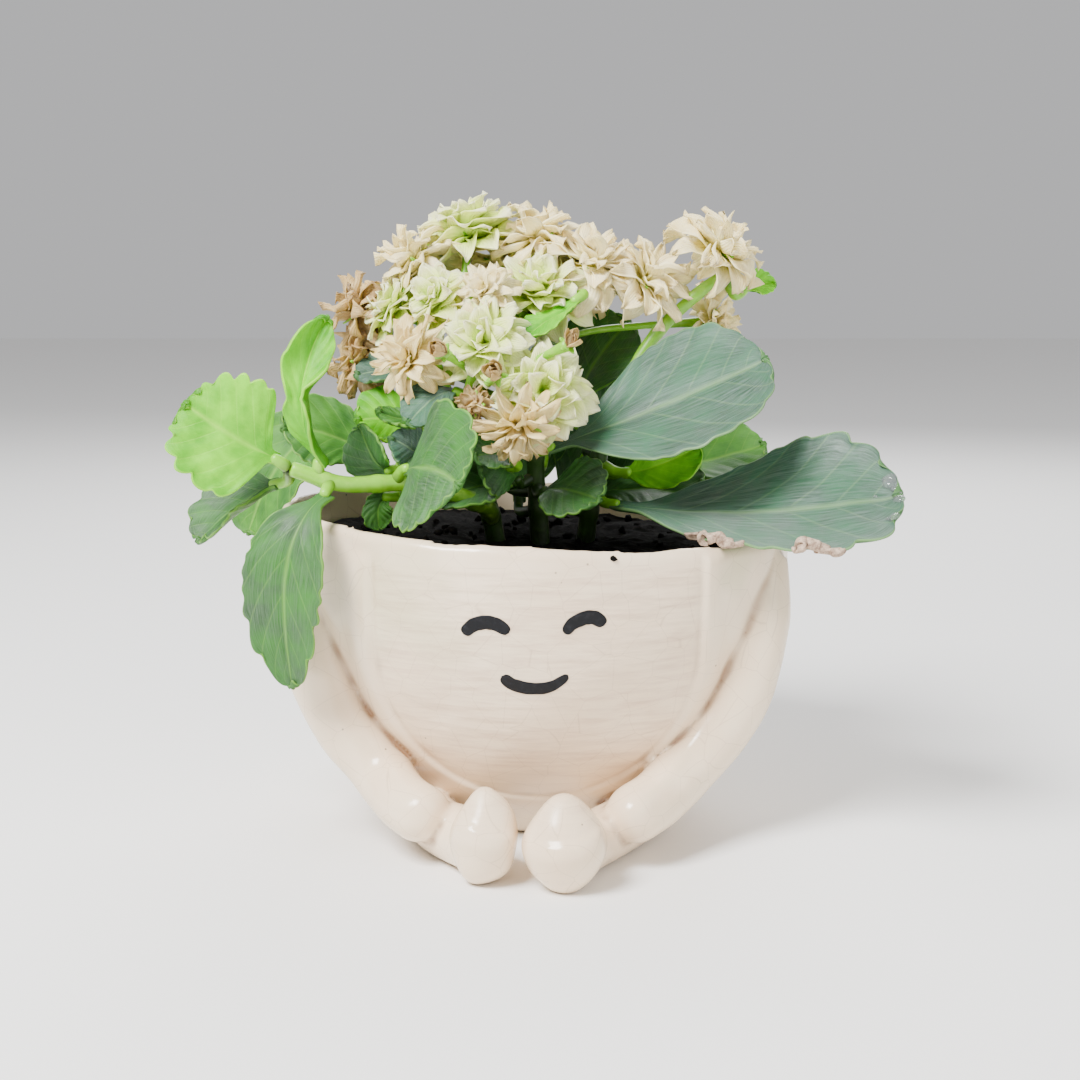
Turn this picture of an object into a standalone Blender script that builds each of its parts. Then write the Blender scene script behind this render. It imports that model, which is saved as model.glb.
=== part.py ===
"""A kalanchoe in a hand-built ceramic pot that is shaped as a seated figure hugging its legs.

Frame: metres, +Z up. The origin is the centre of the pot's flat foot, and the painted face looks
towards -Y. The tables and sizes below are in millimetres, and MM turns them into metres.
"""

import math
from dataclasses import dataclass

import bmesh
import bpy
from mathutils import Matrix, Vector

MM = 0.001

# Pot: a bowl with arms, legs and feet pressed on while the clay was soft, fired as one piece.
RIM_RADIUS = 60.0
RIM_HEIGHT = 76.0
FOOT_RADIUS = 25.0
BELLY_POWER = 2.2  # how quickly the bowl widens above its foot
OVAL = 1.05  # the bowl is this much wider between the arms than from front to back
WALL = 5.0
FLOOR = 7.0
LIP_ROUNDING = 2.4
LEAN = 0.04  # the rim drops this much per millimetre towards +X, as hand-built pots do
BOWL_SEGMENTS = 48

# Potting soil, to just under the rim.
SOIL_DEPTH_BELOW_RIM = 8.0
SOIL_LUMP = 0.8
SOIL_SEGMENTS = 28

# Clearance between pieces that touch in the real object. Stems start this far above the soil.
GAP = 0.35
STEM_CLEARANCE = 1.8

# Leaves are succulent: thick, with a flat stalk that widens into the blade.
LEAF_THICKNESS = 1.5
LEAF_ROWS = 9
LEAF_COLUMNS = 4
LEAF_STALK_SHARE = 0.14
LEAF_STALK_WIDTH = 2.6
LEAF_TIP_SHARE = 0.62
LEAF_ROUNDING = 0.22  # how far back the corners at the tip are drawn, per width over length
LEAF_ROUNDING_MOST = 0.15  # and never more, so that a short wide leaf doesn't fold over itself

STEM_SIDES = 8
STEM_STEP = 7.0
FLOWER_LOBES = 6


@dataclass
class Leaf:
    """One leaf: three points on its midrib, its full width and the way its upper side faces.

    widest is the share of the length where the blade is widest, cup how far its edges rise, as a
    share of half its width, and twist how many degrees it turns about its midrib.
    """

    name: str
    base: tuple
    bend: tuple
    tip: tuple
    width: float
    faces: tuple
    widest: float = 0.66
    cup: float = 0.15
    twist: float = 0.0


@dataclass
class Stem:
    """A round stem through some points, with its radius at the first and the last of them."""

    name: str
    points: tuple
    radius: float
    end_radius: float


@dataclass
class Flower:
    """A flower head: its centre and radius, and the share of the radius that it is tall."""

    name: str
    centre: tuple
    radius: float
    height: float = 0.75
    colour: str = "petal_cream"


ARM_RIGHT = (
    ((53, -22, 68), 8.0),
    ((52, -26, 54), 8.4),
    ((49, -29, 41), 8.2),
    ((44, -31, 30), 7.6),
    ((36, -35, 20), 7.2),
    ((28, -41, 14.5), 6.8),
    ((21, -47, 12), 6.4),
)
ARM_LEFT = (
    ((-54, -22, 67), 8.0),
    ((-53, -26, 54), 8.4),
    ((-50, -29, 41), 8.2),
    ((-45, -31, 29), 7.6),
    ((-37, -34, 19), 7.2),
    ((-31, -40, 13.5), 6.8),
    ((-25, -45, 11), 6.4),
)
LEG_RIGHT = (
    ((26, -6, 6.0), 6.5),
    ((28, -18, 6.0), 6.5),
    ((25, -32, 6.2), 6.3),
    ((17, -45, 6.4), 6.6),
    ((9, -56, 7.5), 7.0),
)
LEG_LEFT = (
    ((-27, -6, 6.0), 6.5),
    ((-29, -18, 6.0), 6.5),
    ((-26, -33, 6.2), 6.3),
    ((-20, -45, 6.4), 6.6),
    ((-12, -54, 7.5), 7.0),
)
# Centre and half sizes of each foot, and how far its top leans inwards, in degrees.
FEET = (
    ((-11.1, -58.5, 11.0), (7.7, 7.6, 11.2), 6.0),
    ((6.2, -62.5, 10.4), (9.1, 8.2, 10.9), -4.0),
)

STEMS = (
    Stem("centre_stem", ((1, -3, 0), (0, -5, 86), (0, -8, 98)), 2.6, 2.0),
    Stem("right_stem", ((13, 3, 0), (15, 0, 84), (17, -3, 95)), 2.5, 2.0),
    Stem("left_stem", ((-10, -4, 0), (-13, -8, 84), (-16, -12, 96)), 2.5, 2.0),
    Stem("side_shoot", ((-13, -13, 79), (-28, -27, 86), (-44, -35, 87), (-56, -38, 91)), 2.3, 1.8),
    Stem("right_flower_stalk", ((18, -4, 97), (28, -4, 117), (40, 0, 129), (47, 0, 134)), 1.8, 1.4),
    Stem("centre_flower_stalk", ((1, -9, 100), (2, -11, 112), (1, -12, 124)), 1.8, 1.4),
    Stem("left_flower_stalk", ((-17, -12, 98), (-23, -10, 110), (-26, -8, 122)), 1.8, 1.4),
    Stem("front_flower_stalk", ((-15, -16, 98), (-16, -23, 104), (-14, -28, 112)), 1.6, 1.2),
    Stem("far_left_flower_stalk", ((-20, -8, 99), (-33, 3, 107), (-42, 1, 111)), 1.5, 1.2),
)

LEAVES = (
    Leaf("upper_right_leaf", (3, -14, 93), (28, -25, 104), (55, -27, 116), 41, (-0.3, -0.62, 0.72)),
    Leaf("lower_right_leaf", (18, -12, 81), (48, -32, 82), (84, -41, 87), 42, (0.05, -0.55, 0.83),
         0.75),
    Leaf("back_right_leaf", (28, 5, 85), (44, 9, 88), (59, 11, 92), 24, (-0.1, -0.55, 0.8)),
    Leaf("inner_right_leaf", (22, -4, 86), (30, -7, 88), (41, -6, 93), 15, (-0.2, -0.85, 0.4)),
    Leaf("centre_bract", (10, -14, 128), (4, -20, 124), (-4, -24, 119), 9, (-0.3, -0.5, 0.8)),
    Leaf("centre_back_leaf", (11, 4, 100), (15, 9, 112), (25, 12, 124), 29, (-0.5, -0.7, 0.5)),
    Leaf("right_bract", (51, 4, 130), (55, 6, 132), (60, 8, 132), 7, (0.0, -0.9, 0.4)),
    Leaf("shoot_end_leaf", (-58, -38, 93), (-68, -43, 99), (-80, -42, 107), 30,
         (-0.15, -0.9, 0.35), 0.42),
    Leaf("shoot_upper_leaf", (-47, -36, 91), (-52, -40, 106), (-46, -34, 125), 11,
         (-0.5, -0.85, 0.15), 0.6, 0.15, 60),
    Leaf("hanging_leaf", (-46, -39, 85), (-55, -49, 71), (-55, -45, 41), 21, (-0.35, -0.9, 0.15),
         0.55),
    Leaf("shoot_far_leaf", (-59, -33, 88), (-69, -31, 83), (-80, -33, 73), 20, (-0.4, -0.5, 0.75),
         0.5),
    Leaf("back_left_leaf", (-36, 16, 95), (-61, 17, 92), (-76, 15, 67), 25, (-0.3, -0.75, 0.6)),
    Leaf("left_behind_leaf", (-37, 0, 87), (-50, -4, 95), (-62, -8, 97), 20, (-0.2, -0.8, 0.5)),
    Leaf("front_leaf", (-29, -33, 90.4), (-22, -44.5, 91.4), (-15, -54, 89.4), 33, (-0.75, -0.5, 0.4),
         0.42),
    Leaf("front_inner_leaf", (-27, -21, 90), (-29, -26, 94), (-34, -28, 97), 11, (-0.3, -0.8, 0.5)),
    Leaf("left_curled_leaf", (-33, -25, 88), (-38, -28, 91), (-42, -26, 100), 13, (-0.6, -0.75, 0.2)),
    Leaf("small_drooping_leaf", (-34, -20, 82), (-37, -22, 80), (-37, -22, 74), 8, (0, -0.9, 0.3)),
    Leaf("left_high_leaf", (-28, -2, 107), (-36, -8, 111), (-44, -10, 110), 12, (0, -0.6, 0.8)),
    Leaf("left_bright_leaf", (-27, -12, 96), (-35, -15, 100), (-43, -17, 100), 18, (0, -0.7, 0.7)),
    Leaf("grey_leaf", (-18, -23, 107), (-24, -29, 106), (-30, -31, 100), 13, (-0.1, -0.6, 0.8)),
    Leaf("shade_leaf", (-6, -15, 89), (-10, -21, 92), (-15, -25, 92), 13, (0, -0.7, 0.7)),
    Leaf("rear_left_leaf", (-14, 5, 87), (-31, 28, 95), (-49, 46, 87), 29, (-0.2, 0.3, 0.9)),
    Leaf("rear_right_leaf", (14, 8, 88), (32, 30, 95), (50, 46, 88), 34, (0.2, 0.3, 0.9)),
    Leaf("rear_centre_leaf", (2, 6, 88), (4, 34, 99), (2, 62, 90), 36, (0.0, 0.35, 0.9)),
    Leaf("rear_upper_leaf", (0, 4, 100), (-8, 20, 113), (-14, 36, 114), 26, (-0.1, 0.2, 0.95)),
)

FLOWERS = (
    Flower("fresh_flower_top", (-18, 5, 149), 8.4, 0.7, "petal_green"),
    Flower("cream_flower_top_left", (-32, 0, 141), 7.0),
    Flower("fresh_flower_left", (-37, -8, 128), 6.0, 0.8, "petal_green"),
    Flower("fresh_flower_left_centre", (-25, -15, 130), 7.0, 0.8, "petal_green"),
    Flower("dried_flower_left_upper", (-47, -2, 128), 6.4, 0.9, "petal_dried"),
    Flower("dried_flower_left_lower", (-48, 0, 114), 6.0, 0.9, "petal_dried"),
    Flower("cream_flower_front_left", (-31, -28, 116), 7.2),
    Flower("fresh_flower_front", (-13, -30, 120), 7.4, 0.8, "petal_green"),
    Flower("cream_flower_curled", (-12, -22, 132), 5.6),
    Flower("fresh_flower_centre", (1, -12, 134), 8.0, 0.8, "petal_green"),
    Flower("cream_flower_top", (1, 4, 148), 7.4),
    Flower("cream_flower_top_behind", (-9, 14, 141), 6.6),
    Flower("cream_flower_star", (16, -6, 141), 8.2),
    Flower("cream_flower_right", (30, -4, 136), 7.6),
    Flower("cream_flower_far_right", (49, 0, 143), 7.6),
    Flower("cream_flower_right_low", (48, 8, 122), 5.6),
    Flower("fresh_flower_low", (2, -34, 109), 7.4, 0.8, "petal_green"),
    Flower("cream_flower_hanging", (-4, -36, 96), 6.2, 0.9),
    Flower("dried_bud_front", (-15, -34, 105), 3.2, 0.9, "petal_dried"),
    Flower("dried_bud_high", (-21, -36, 117), 2.8, 1.0, "petal_dried"),
    Flower("dried_bud_centre", (-9, -38, 112), 3.2, 1.0, "petal_dried"),
    Flower("dried_bud_right", (8, -36, 119), 2.6, 1.1, "petal_dried"),
    Flower("cream_flower_rear_left", (-24, 20, 132), 7.4),
    Flower("cream_flower_rear_centre", (8, 20, 134), 7.6),
)

COLOURS = {
    "glazed_cream": ((0.83, 0.76, 0.69), 0.35),
    "potting_soil": ((0.02, 0.015, 0.012), 0.95),
    "stem_green": ((0.16, 0.34, 0.05), 0.5),
    "leaf_green": ((0.06, 0.17, 0.03), 0.4),
    "petal_green": ((0.74, 0.83, 0.48), 0.6),
    "petal_cream": ((0.83, 0.74, 0.52), 0.6),
    "petal_dried": ((0.42, 0.26, 0.12), 0.8),
}


def clear_scene():
    """Removes every object of the scene that the script starts in."""
    for obj in list(bpy.data.objects):
        bpy.data.objects.remove(obj)


def material(name):
    """The named material, made the first time it is asked for."""
    found = bpy.data.materials.get(name)
    if found:
        return found
    (red, green, blue), roughness = COLOURS[name]
    made = bpy.data.materials.new(name)
    made.use_nodes = True
    shader = made.node_tree.nodes["Principled BSDF"]
    shader.inputs["Base Color"].default_value = (red, green, blue, 1.0)
    shader.inputs["Roughness"].default_value = roughness
    return made


def add_object(name, bm, material_name=None, helper=False):
    """Turns a bmesh in millimetres into an object in metres. A helper isn't part of the model."""
    bmesh.ops.recalc_face_normals(bm, faces=bm.faces)
    bmesh.ops.scale(bm, vec=Vector((MM, MM, MM)), verts=bm.verts)
    mesh = bpy.data.meshes.new(name)
    bm.to_mesh(mesh)
    bm.free()
    mesh.shade_smooth()
    mesh.set_sharp_from_angle(angle=math.radians(40))
    obj = bpy.data.objects.new(name, mesh)
    bpy.context.scene.collection.objects.link(obj)
    if material_name:
        mesh.materials.append(material(material_name))
    if helper:
        obj.hide_render = True
        obj.display_type = "WIRE"
    return obj


def add_boolean(target, other, operation):
    """Joins a helper to the target, or cuts it away."""
    modifier = target.modifiers.new(f"{operation.lower()}_{other.name}", "BOOLEAN")
    modifier.operation = operation
    modifier.object = other


def bowl_radius(height):
    """Outer radius of the bowl at a height above its foot."""
    share = 1.0 - (1.0 - height / RIM_HEIGHT) ** BELLY_POWER
    return FOOT_RADIUS + (RIM_RADIUS - FOOT_RADIUS) * share


def leaned(point):
    """The point with the pot's lean: it rises towards -X in proportion to its height."""
    x, y, z = point
    return Vector((x, y, z * (1.0 - LEAN * x / RIM_HEIGHT)))


def hand_built(bm):
    """Makes the vertices of a turned shape oval and leaning."""
    for vert in bm.verts:
        vert.co = leaned((vert.co.x * OVAL, vert.co.y, vert.co.z))


def turned(profile, segments):
    """A closed bmesh from a profile of (radius, height) points that starts and ends on the axis."""
    bm = bmesh.new()
    verts = [bm.verts.new((radius, 0.0, height)) for radius, height in profile]
    edges = [bm.edges.new(pair) for pair in zip(verts, verts[1:])]
    bmesh.ops.spin(bm, geom=verts + edges, axis=(0, 0, 1), cent=(0, 0, 0),
                   angle=math.tau, steps=segments, use_merge=True)
    bmesh.ops.remove_doubles(bm, verts=bm.verts, dist=0.001)
    return bm


def smooth_path(points, step):
    """Points about a step apart on a Catmull-Rom curve through the given ones, with both ends."""
    ends = [2 * points[0] - points[1], *points, 2 * points[-1] - points[-2]]
    path = []
    for before, start, end, after in zip(ends, ends[1:], ends[2:], ends[3:]):
        count = max(1, round((end - start).length / step))
        for i in range(count):
            t = i / count
            path.append(0.5 * (2 * start + (end - before) * t
                               + (2 * before - 5 * start + 4 * end - after) * t ** 2
                               + (3 * start - before - 3 * end + after) * t ** 3))
    return path + [points[-1]]


def tube(path, radii, sides):
    """A closed bmesh round a path: one ring for each point, bridged to the next, with flat ends."""
    bm = bmesh.new()
    rings = []
    for i, (point, radius) in enumerate(zip(path, radii)):
        along = path[min(i + 1, len(path) - 1)] - path[max(i - 1, 0)]
        turn = along.to_track_quat("Z", "Y").to_matrix().to_4x4()
        ring = bmesh.ops.create_circle(bm, cap_ends=i in (0, len(path) - 1), segments=sides,
                                       radius=radius, matrix=Matrix.Translation(point) @ turn)
        rings.append([edge for edge in bm.edges if all(v in ring["verts"] for v in edge.verts)])
    for ring, following in zip(rings, rings[1:]):
        bmesh.ops.bridge_loops(bm, edges=ring + following)
    return bm


def limb(name, joints):
    """An arm or a leg: a roll of clay through its joints, with a rounded far end."""
    points = [Vector(place) for place, _ in joints]
    path = smooth_path(points, 6.0)
    reach = [(place - points[0]).length for place in points]
    radii = []
    for place in path:
        near = min(range(len(points) - 1),
                   key=lambda i: (place - points[i]).length + (place - points[i + 1]).length)
        first = (place - points[near]).length
        share = first / (first + (place - points[near + 1]).length)
        radii.append(joints[near][1] * (1 - share) + joints[near + 1][1] * share)
    onward = (path[-1] - path[-2]).normalized()
    end = radii[-1]
    for degrees in (35, 65, 85):
        angle = math.radians(degrees)
        path.append(points[-1] + onward * end * math.sin(angle))
        radii.append(end * math.cos(angle))
    bm = tube([leaned(place) for place in path], radii, 14)
    return add_object(name, bm, helper=True)


def foot(name, centre, half_sizes, lean_degrees):
    """A foot: an egg of clay that stands on its heel."""
    bm = bmesh.new()
    bmesh.ops.create_uvsphere(bm, u_segments=16, v_segments=10, radius=1.0)
    bmesh.ops.scale(bm, vec=Vector(half_sizes), verts=bm.verts)
    for vert in bm.verts:
        upper = max(0.0, vert.co.z / half_sizes[2])
        vert.co.x *= 1.0 - 0.18 * upper
        vert.co.y *= 1.0 - 0.25 * upper
    bmesh.ops.rotate(bm, verts=bm.verts, matrix=Matrix.Rotation(math.radians(lean_degrees), 3, "Y"))
    bmesh.ops.translate(bm, vec=Vector(centre), verts=bm.verts)
    return add_object(name, bm, helper=True)


def make_pot():
    """The bowl, hollowed after its limbs are joined, and cut flat where it stands."""
    heights = [RIM_HEIGHT * share for share in (0.04, 0.1, 0.18, 0.28, 0.4, 0.54, 0.7, 0.86)]
    outside = [(bowl_radius(z), z) for z in heights]
    lip = [(RIM_RADIUS - LIP_ROUNDING * (1 - math.cos(math.radians(a))),
            RIM_HEIGHT - LIP_ROUNDING * (1 - math.sin(math.radians(a)))) for a in (0, 30, 60, 90)]
    bowl = turned([(0, 0), (FOOT_RADIUS, 0), *outside, *lip, (0, RIM_HEIGHT)], BOWL_SEGMENTS)
    hand_built(bowl)
    pot = add_object("pot", bowl, "glazed_cream")
    for name, joints in (("right_arm", ARM_RIGHT), ("left_arm", ARM_LEFT),
                         ("right_leg", LEG_RIGHT), ("left_leg", LEG_LEFT)):
        add_boolean(pot, limb(name, joints), "UNION")
    for name, (centre, half_sizes, lean) in zip(("left_foot", "right_foot"), FEET):
        add_boolean(pot, foot(name, centre, half_sizes, lean), "UNION")
    add_boolean(pot, cavity(), "DIFFERENCE")
    add_boolean(pot, ground(), "DIFFERENCE")


def inner_profile(top):
    """(radius, height) points up the inside of the wall, from the edge of the floor to the top."""
    heights = [FLOOR + (top - FLOOR) * share for share in (0.06, 0.16, 0.3, 0.46, 0.64, 0.82, 1.0)]
    return [(bowl_radius(FLOOR) - WALL - 3, FLOOR), *((bowl_radius(z) - WALL, z) for z in heights)]


def cavity():
    """The cutter for the inside of the bowl, flared at the top so that the lip is round."""
    top = RIM_HEIGHT - LIP_ROUNDING
    flare = [(RIM_RADIUS - LIP_ROUNDING - 0.4, RIM_HEIGHT + 0.2),
             (RIM_RADIUS - LIP_ROUNDING + 4, RIM_HEIGHT + 6)]
    bm = turned([(0, FLOOR), *inner_profile(top), *flare, (0, RIM_HEIGHT + 6)], BOWL_SEGMENTS)
    hand_built(bm)
    return add_object("cavity", bm, helper=True)


def ground():
    """The cutter that flattens the legs and feet where they stand."""
    bm = bmesh.new()
    place = Matrix.Translation((0, 0, -10)) @ Matrix.Diagonal((200, 200, 20, 1))
    bmesh.ops.create_cube(bm, size=1.0, matrix=place)
    return add_object("ground", bm, helper=True)


def soil_height(x, y):
    """Height of the soil's uneven top."""
    lumps = math.sin(x * 0.21 + 1.0) * math.cos(y * 0.17) + 0.6 * math.sin(x * 0.09 - y * 0.23)
    return RIM_HEIGHT - SOIL_DEPTH_BELOW_RIM + SOIL_LUMP * lumps


def make_soil():
    """The soil: the shape of the inside of the bowl, with a gap all round and an uneven top."""
    top = RIM_HEIGHT - SOIL_DEPTH_BELOW_RIM
    wall = [(radius - 2 * GAP, height + GAP) for radius, height in inner_profile(top - GAP)]
    rings = [(wall[-1][0] * share, top) for share in (0.8, 0.55, 0.28)]
    bm = turned([(0, FLOOR + GAP), *wall, *rings, (0, top)], SOIL_SEGMENTS)
    for vert in bm.verts:
        radius = math.hypot(vert.co.x, vert.co.y)
        if vert.co.z > top - 0.01 and radius < wall[-1][0] - 1:
            vert.co.z = soil_height(vert.co.x, vert.co.y)
    hand_built(bm)
    add_object("soil", bm, "potting_soil")


def make_stem(stem):
    """A stem. One that is given at height 0 starts just above the soil."""
    points = [Vector(place) for place in stem.points]
    if points[0].z == 0:
        foot_x, foot_y = points[0].x, points[0].y
        points[0] = leaned((foot_x, foot_y, soil_height(foot_x, foot_y) + STEM_CLEARANCE))
    path = smooth_path(points, STEM_STEP)
    last = len(path) - 1
    radii = [stem.radius + (stem.end_radius - stem.radius) * i / last for i in range(len(path))]
    add_object(stem.name, tube(path, radii, STEM_SIDES), "stem_green")


def leaf_half_width(leaf, share):
    """Half the leaf's width at a share of its length: a flat stalk that widens into the blade."""
    full = leaf.width / 2
    stalk = min(LEAF_STALK_WIDTH / 2, full * 0.3)
    if share <= LEAF_STALK_SHARE:
        return stalk
    if share < leaf.widest:
        rise = (share - LEAF_STALK_SHARE) / (leaf.widest - LEAF_STALK_SHARE)
        return stalk + (full - stalk) * math.sin(rise * math.pi / 2) ** 1.15
    fall = (share - leaf.widest) / (1.0 - leaf.widest)
    return full * (1.0 - (1.0 - LEAF_TIP_SHARE) * fall ** 2)


def leaf_point(leaf, share, across):
    """Where the point at a share of the length, and from -1 to 1 across, lies on the leaf."""
    base, bend, tip = Vector(leaf.base), Vector(leaf.bend), Vector(leaf.tip)
    handle = 2 * bend - (base + tip) / 2
    length = (bend - base).length + (tip - bend).length
    rounding = min(LEAF_ROUNDING_MOST, LEAF_ROUNDING * leaf.width / length)
    round_off = max(0.0, share - 0.5) / 0.5 * rounding * across ** 2
    t = share - round_off
    centre = base * (1 - t) ** 2 + handle * 2 * t * (1 - t) + tip * t ** 2
    along = ((handle - base) * (1 - t) + (tip - handle) * t).normalized()
    sideways = Vector(leaf.faces).cross(along).normalized()
    sideways = Matrix.Rotation(math.radians(leaf.twist) * (share - 0.5), 3, along) @ sideways
    up = along.cross(sideways)
    half = leaf_half_width(leaf, share)
    return centre + sideways * across * half + up * leaf.cup * half * across ** 2


def make_leaf(leaf):
    """A leaf: a grid shaped to its outline and bent along its midrib, thickened both ways."""
    bm = bmesh.new()
    bmesh.ops.create_grid(bm, x_segments=LEAF_ROWS, y_segments=LEAF_COLUMNS, size=1.0)
    for vert in bm.verts:
        vert.co = leaf_point(leaf, (vert.co.x + 1) / 2, vert.co.y)
    obj = add_object(leaf.name, bm, "leaf_green")
    shell = obj.modifiers.new("thickness", "SOLIDIFY")
    shell.thickness = LEAF_THICKNESS * MM
    shell.offset = 0.0


def make_flower(flower):
    """A flower head: a lobed cup that faces away from the middle of the plant."""
    bm = bmesh.new()
    bmesh.ops.create_uvsphere(bm, u_segments=2 * FLOWER_LOBES, v_segments=6, radius=1.0)
    for vert in bm.verts:
        angle = math.atan2(vert.co.y, vert.co.x)
        lobe = 0.88 + 0.12 * math.cos(FLOWER_LOBES * angle)
        below = 1.0 if vert.co.z >= -0.1 else 0.72
        spread = lobe * below
        vert.co = Vector((vert.co.x * spread, vert.co.y * spread, vert.co.z * flower.height))
    bmesh.ops.scale(bm, vec=Vector((flower.radius,) * 3), verts=bm.verts)
    centre = Vector(flower.centre)
    outward = (centre - Vector((0, 0, 100))).to_track_quat("Z", "Y").to_matrix().to_4x4()
    bmesh.ops.transform(bm, matrix=Matrix.Translation(centre) @ outward, verts=bm.verts)
    add_object(flower.name, bm, flower.colour)


def main():
    """Builds the pot, the soil and the plant."""
    clear_scene()
    make_pot()
    make_soil()
    for stem in STEMS:
        make_stem(stem)
    for leaf in LEAVES:
        make_leaf(leaf)
    for flower in FLOWERS:
        make_flower(flower)


main()
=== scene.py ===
"""Looks for the potted kalanchoe: a double-flowered plant in a pot shaped as a seated figure.

The CAD nodes fix where each piece is and how large it is. Every piece here is modelled in
millimetres, fitted to the box of the node that it stands for, and turned into metres last.
"""

import logging
import math
import random
from collections.abc import Callable, Iterable, Sequence
from dataclasses import dataclass, field
from enum import Enum

import bmesh
import bpy
import numpy as np
from mathutils import Matrix, Vector, noise
from mathutils.bvhtree import BVHTree


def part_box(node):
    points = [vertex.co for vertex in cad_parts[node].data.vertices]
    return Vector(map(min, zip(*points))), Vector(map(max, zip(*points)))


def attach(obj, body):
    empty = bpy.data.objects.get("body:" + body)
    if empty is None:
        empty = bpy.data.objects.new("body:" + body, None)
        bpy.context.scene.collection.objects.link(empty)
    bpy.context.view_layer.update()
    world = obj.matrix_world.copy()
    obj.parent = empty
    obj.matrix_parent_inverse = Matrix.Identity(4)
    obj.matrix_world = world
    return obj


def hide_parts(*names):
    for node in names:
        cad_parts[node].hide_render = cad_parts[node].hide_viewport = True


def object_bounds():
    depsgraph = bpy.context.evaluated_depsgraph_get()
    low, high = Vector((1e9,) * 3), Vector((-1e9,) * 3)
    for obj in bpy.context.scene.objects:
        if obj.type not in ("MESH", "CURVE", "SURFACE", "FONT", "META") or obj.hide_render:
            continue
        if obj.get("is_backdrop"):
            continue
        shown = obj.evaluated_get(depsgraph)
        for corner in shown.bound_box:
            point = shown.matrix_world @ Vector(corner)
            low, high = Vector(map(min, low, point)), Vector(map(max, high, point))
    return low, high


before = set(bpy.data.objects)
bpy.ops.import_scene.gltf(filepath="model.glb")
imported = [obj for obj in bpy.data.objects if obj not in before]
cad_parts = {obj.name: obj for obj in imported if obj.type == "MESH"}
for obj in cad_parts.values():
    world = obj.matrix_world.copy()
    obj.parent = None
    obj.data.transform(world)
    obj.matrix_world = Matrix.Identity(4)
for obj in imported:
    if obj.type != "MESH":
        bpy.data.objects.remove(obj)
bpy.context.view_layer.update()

MM = 0.001
PLANT_HEART = Vector((0.0, 0.0, 100.0))  # flower heads face away from here
LOG = logging.getLogger("potted_kalanchoe")

Place = Callable[[float, float], Vector]
Triple = tuple[float, float, float]


# --- Small tools -----------------------------------------------------------------------------


def linear(code: str) -> tuple[float, float, float, float]:
    """Turns a colour into the linear values that a shader takes.

    Args:
        code: An sRGB colour as six hex digits.

    Returns:
        Red, green, blue and an alpha of 1.
    """
    shares = [int(code[i : i + 2], 16) / 255 for i in (0, 2, 4)]
    red, green, blue = (s / 12.92 if s <= 0.04045 else ((s + 0.055) / 1.055) ** 2.4 for s in shares)
    return (red, green, blue, 1.0)


def per_mm(size: float) -> float:
    """The texture scale that makes a pattern's features about this many millimetres across."""
    return 1.0 / (size * MM)


def smooth_step(low: float, high: float, value: float) -> float:
    """0 below low, 1 above high, and an even rise in between."""
    share = min(1.0, max(0.0, (value - low) / (high - low)))
    return share * share * (3 - 2 * share)


def add_node(
    tree: bpy.types.NodeTree,
    kind: str,
    options: dict[str, object] | None = None,
    values: dict[int | str, object] | None = None,
    links: dict[int | str, tuple[bpy.types.Node, int | str]] | None = None,
) -> bpy.types.Node:
    """Adds a node with its settings and links.

    Args:
        tree: The material's node tree.
        kind: The node's type.
        options: The node's own properties.
        values: Values for its input sockets, by name or number.
        links: For an input socket, the node and the output socket that feed it.

    Returns:
        The new node.
    """
    node = tree.nodes.new(kind)
    for name, value in (options or {}).items():
        setattr(node, name, value)
    for socket, value in (values or {}).items():
        node.inputs[socket].default_value = value
    for socket, (source, output) in (links or {}).items():
        tree.links.new(source.outputs[output], node.inputs[socket])
    return node


def box_mm(node: str) -> tuple[Vector, Vector]:
    """The lowest and highest corner of a CAD node, in millimetres."""
    low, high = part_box(node)
    return low / MM, high / MM


def box_of(verts: Iterable[bmesh.types.BMVert]) -> tuple[Vector, Vector]:
    """The lowest and highest corner of some vertices."""
    places = np.array([vert.co for vert in verts])
    return Vector(places.min(0)), Vector(places.max(0))


def fit(bm: bmesh.types.BMesh, node: str, scale: bool = True) -> tuple[float, Vector, Vector]:
    """Moves a piece to the middle of its CAD node's box, and gives it the node's size.

    Args:
        bm: The piece, in millimetres.
        node: The CAD node that it stands for.
        scale: Whether the size is fitted too, the same in every direction.

    Returns:
        The scale, and the middle of the piece before and after.
    """
    low, high = box_of(bm.verts)
    node_low, node_high = box_mm(node)
    size = (node_high - node_low).length / (high - low).length if scale else 1.0
    before = (low + high) / 2
    after = (node_low + node_high) / 2
    for vert in bm.verts:
        vert.co = after + (vert.co - before) * size
    return size, before, after


def curve_through(points: Sequence[Vector], step: float) -> list[Vector]:
    """Points along a smooth curve.

    Args:
        points: The points that the curve passes through.
        step: About how far apart the returned points are.

    Returns:
        The points, with both ends.
    """
    ends = [2 * points[0] - points[1], *points, 2 * points[-1] - points[-2]]
    path = []
    for before, start, end, after in zip(ends, ends[1:], ends[2:], ends[3:]):
        count = max(1, round((end - start).length / step))
        for i in range(count):
            t = i / count
            path.append(
                0.5
                * (
                    2 * start
                    + (end - before) * t
                    + (2 * before - 5 * start + 4 * end - after) * t**2
                    + (3 * start - before - 3 * end + after) * t**3
                )
            )
    return path + [points[-1]]


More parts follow.
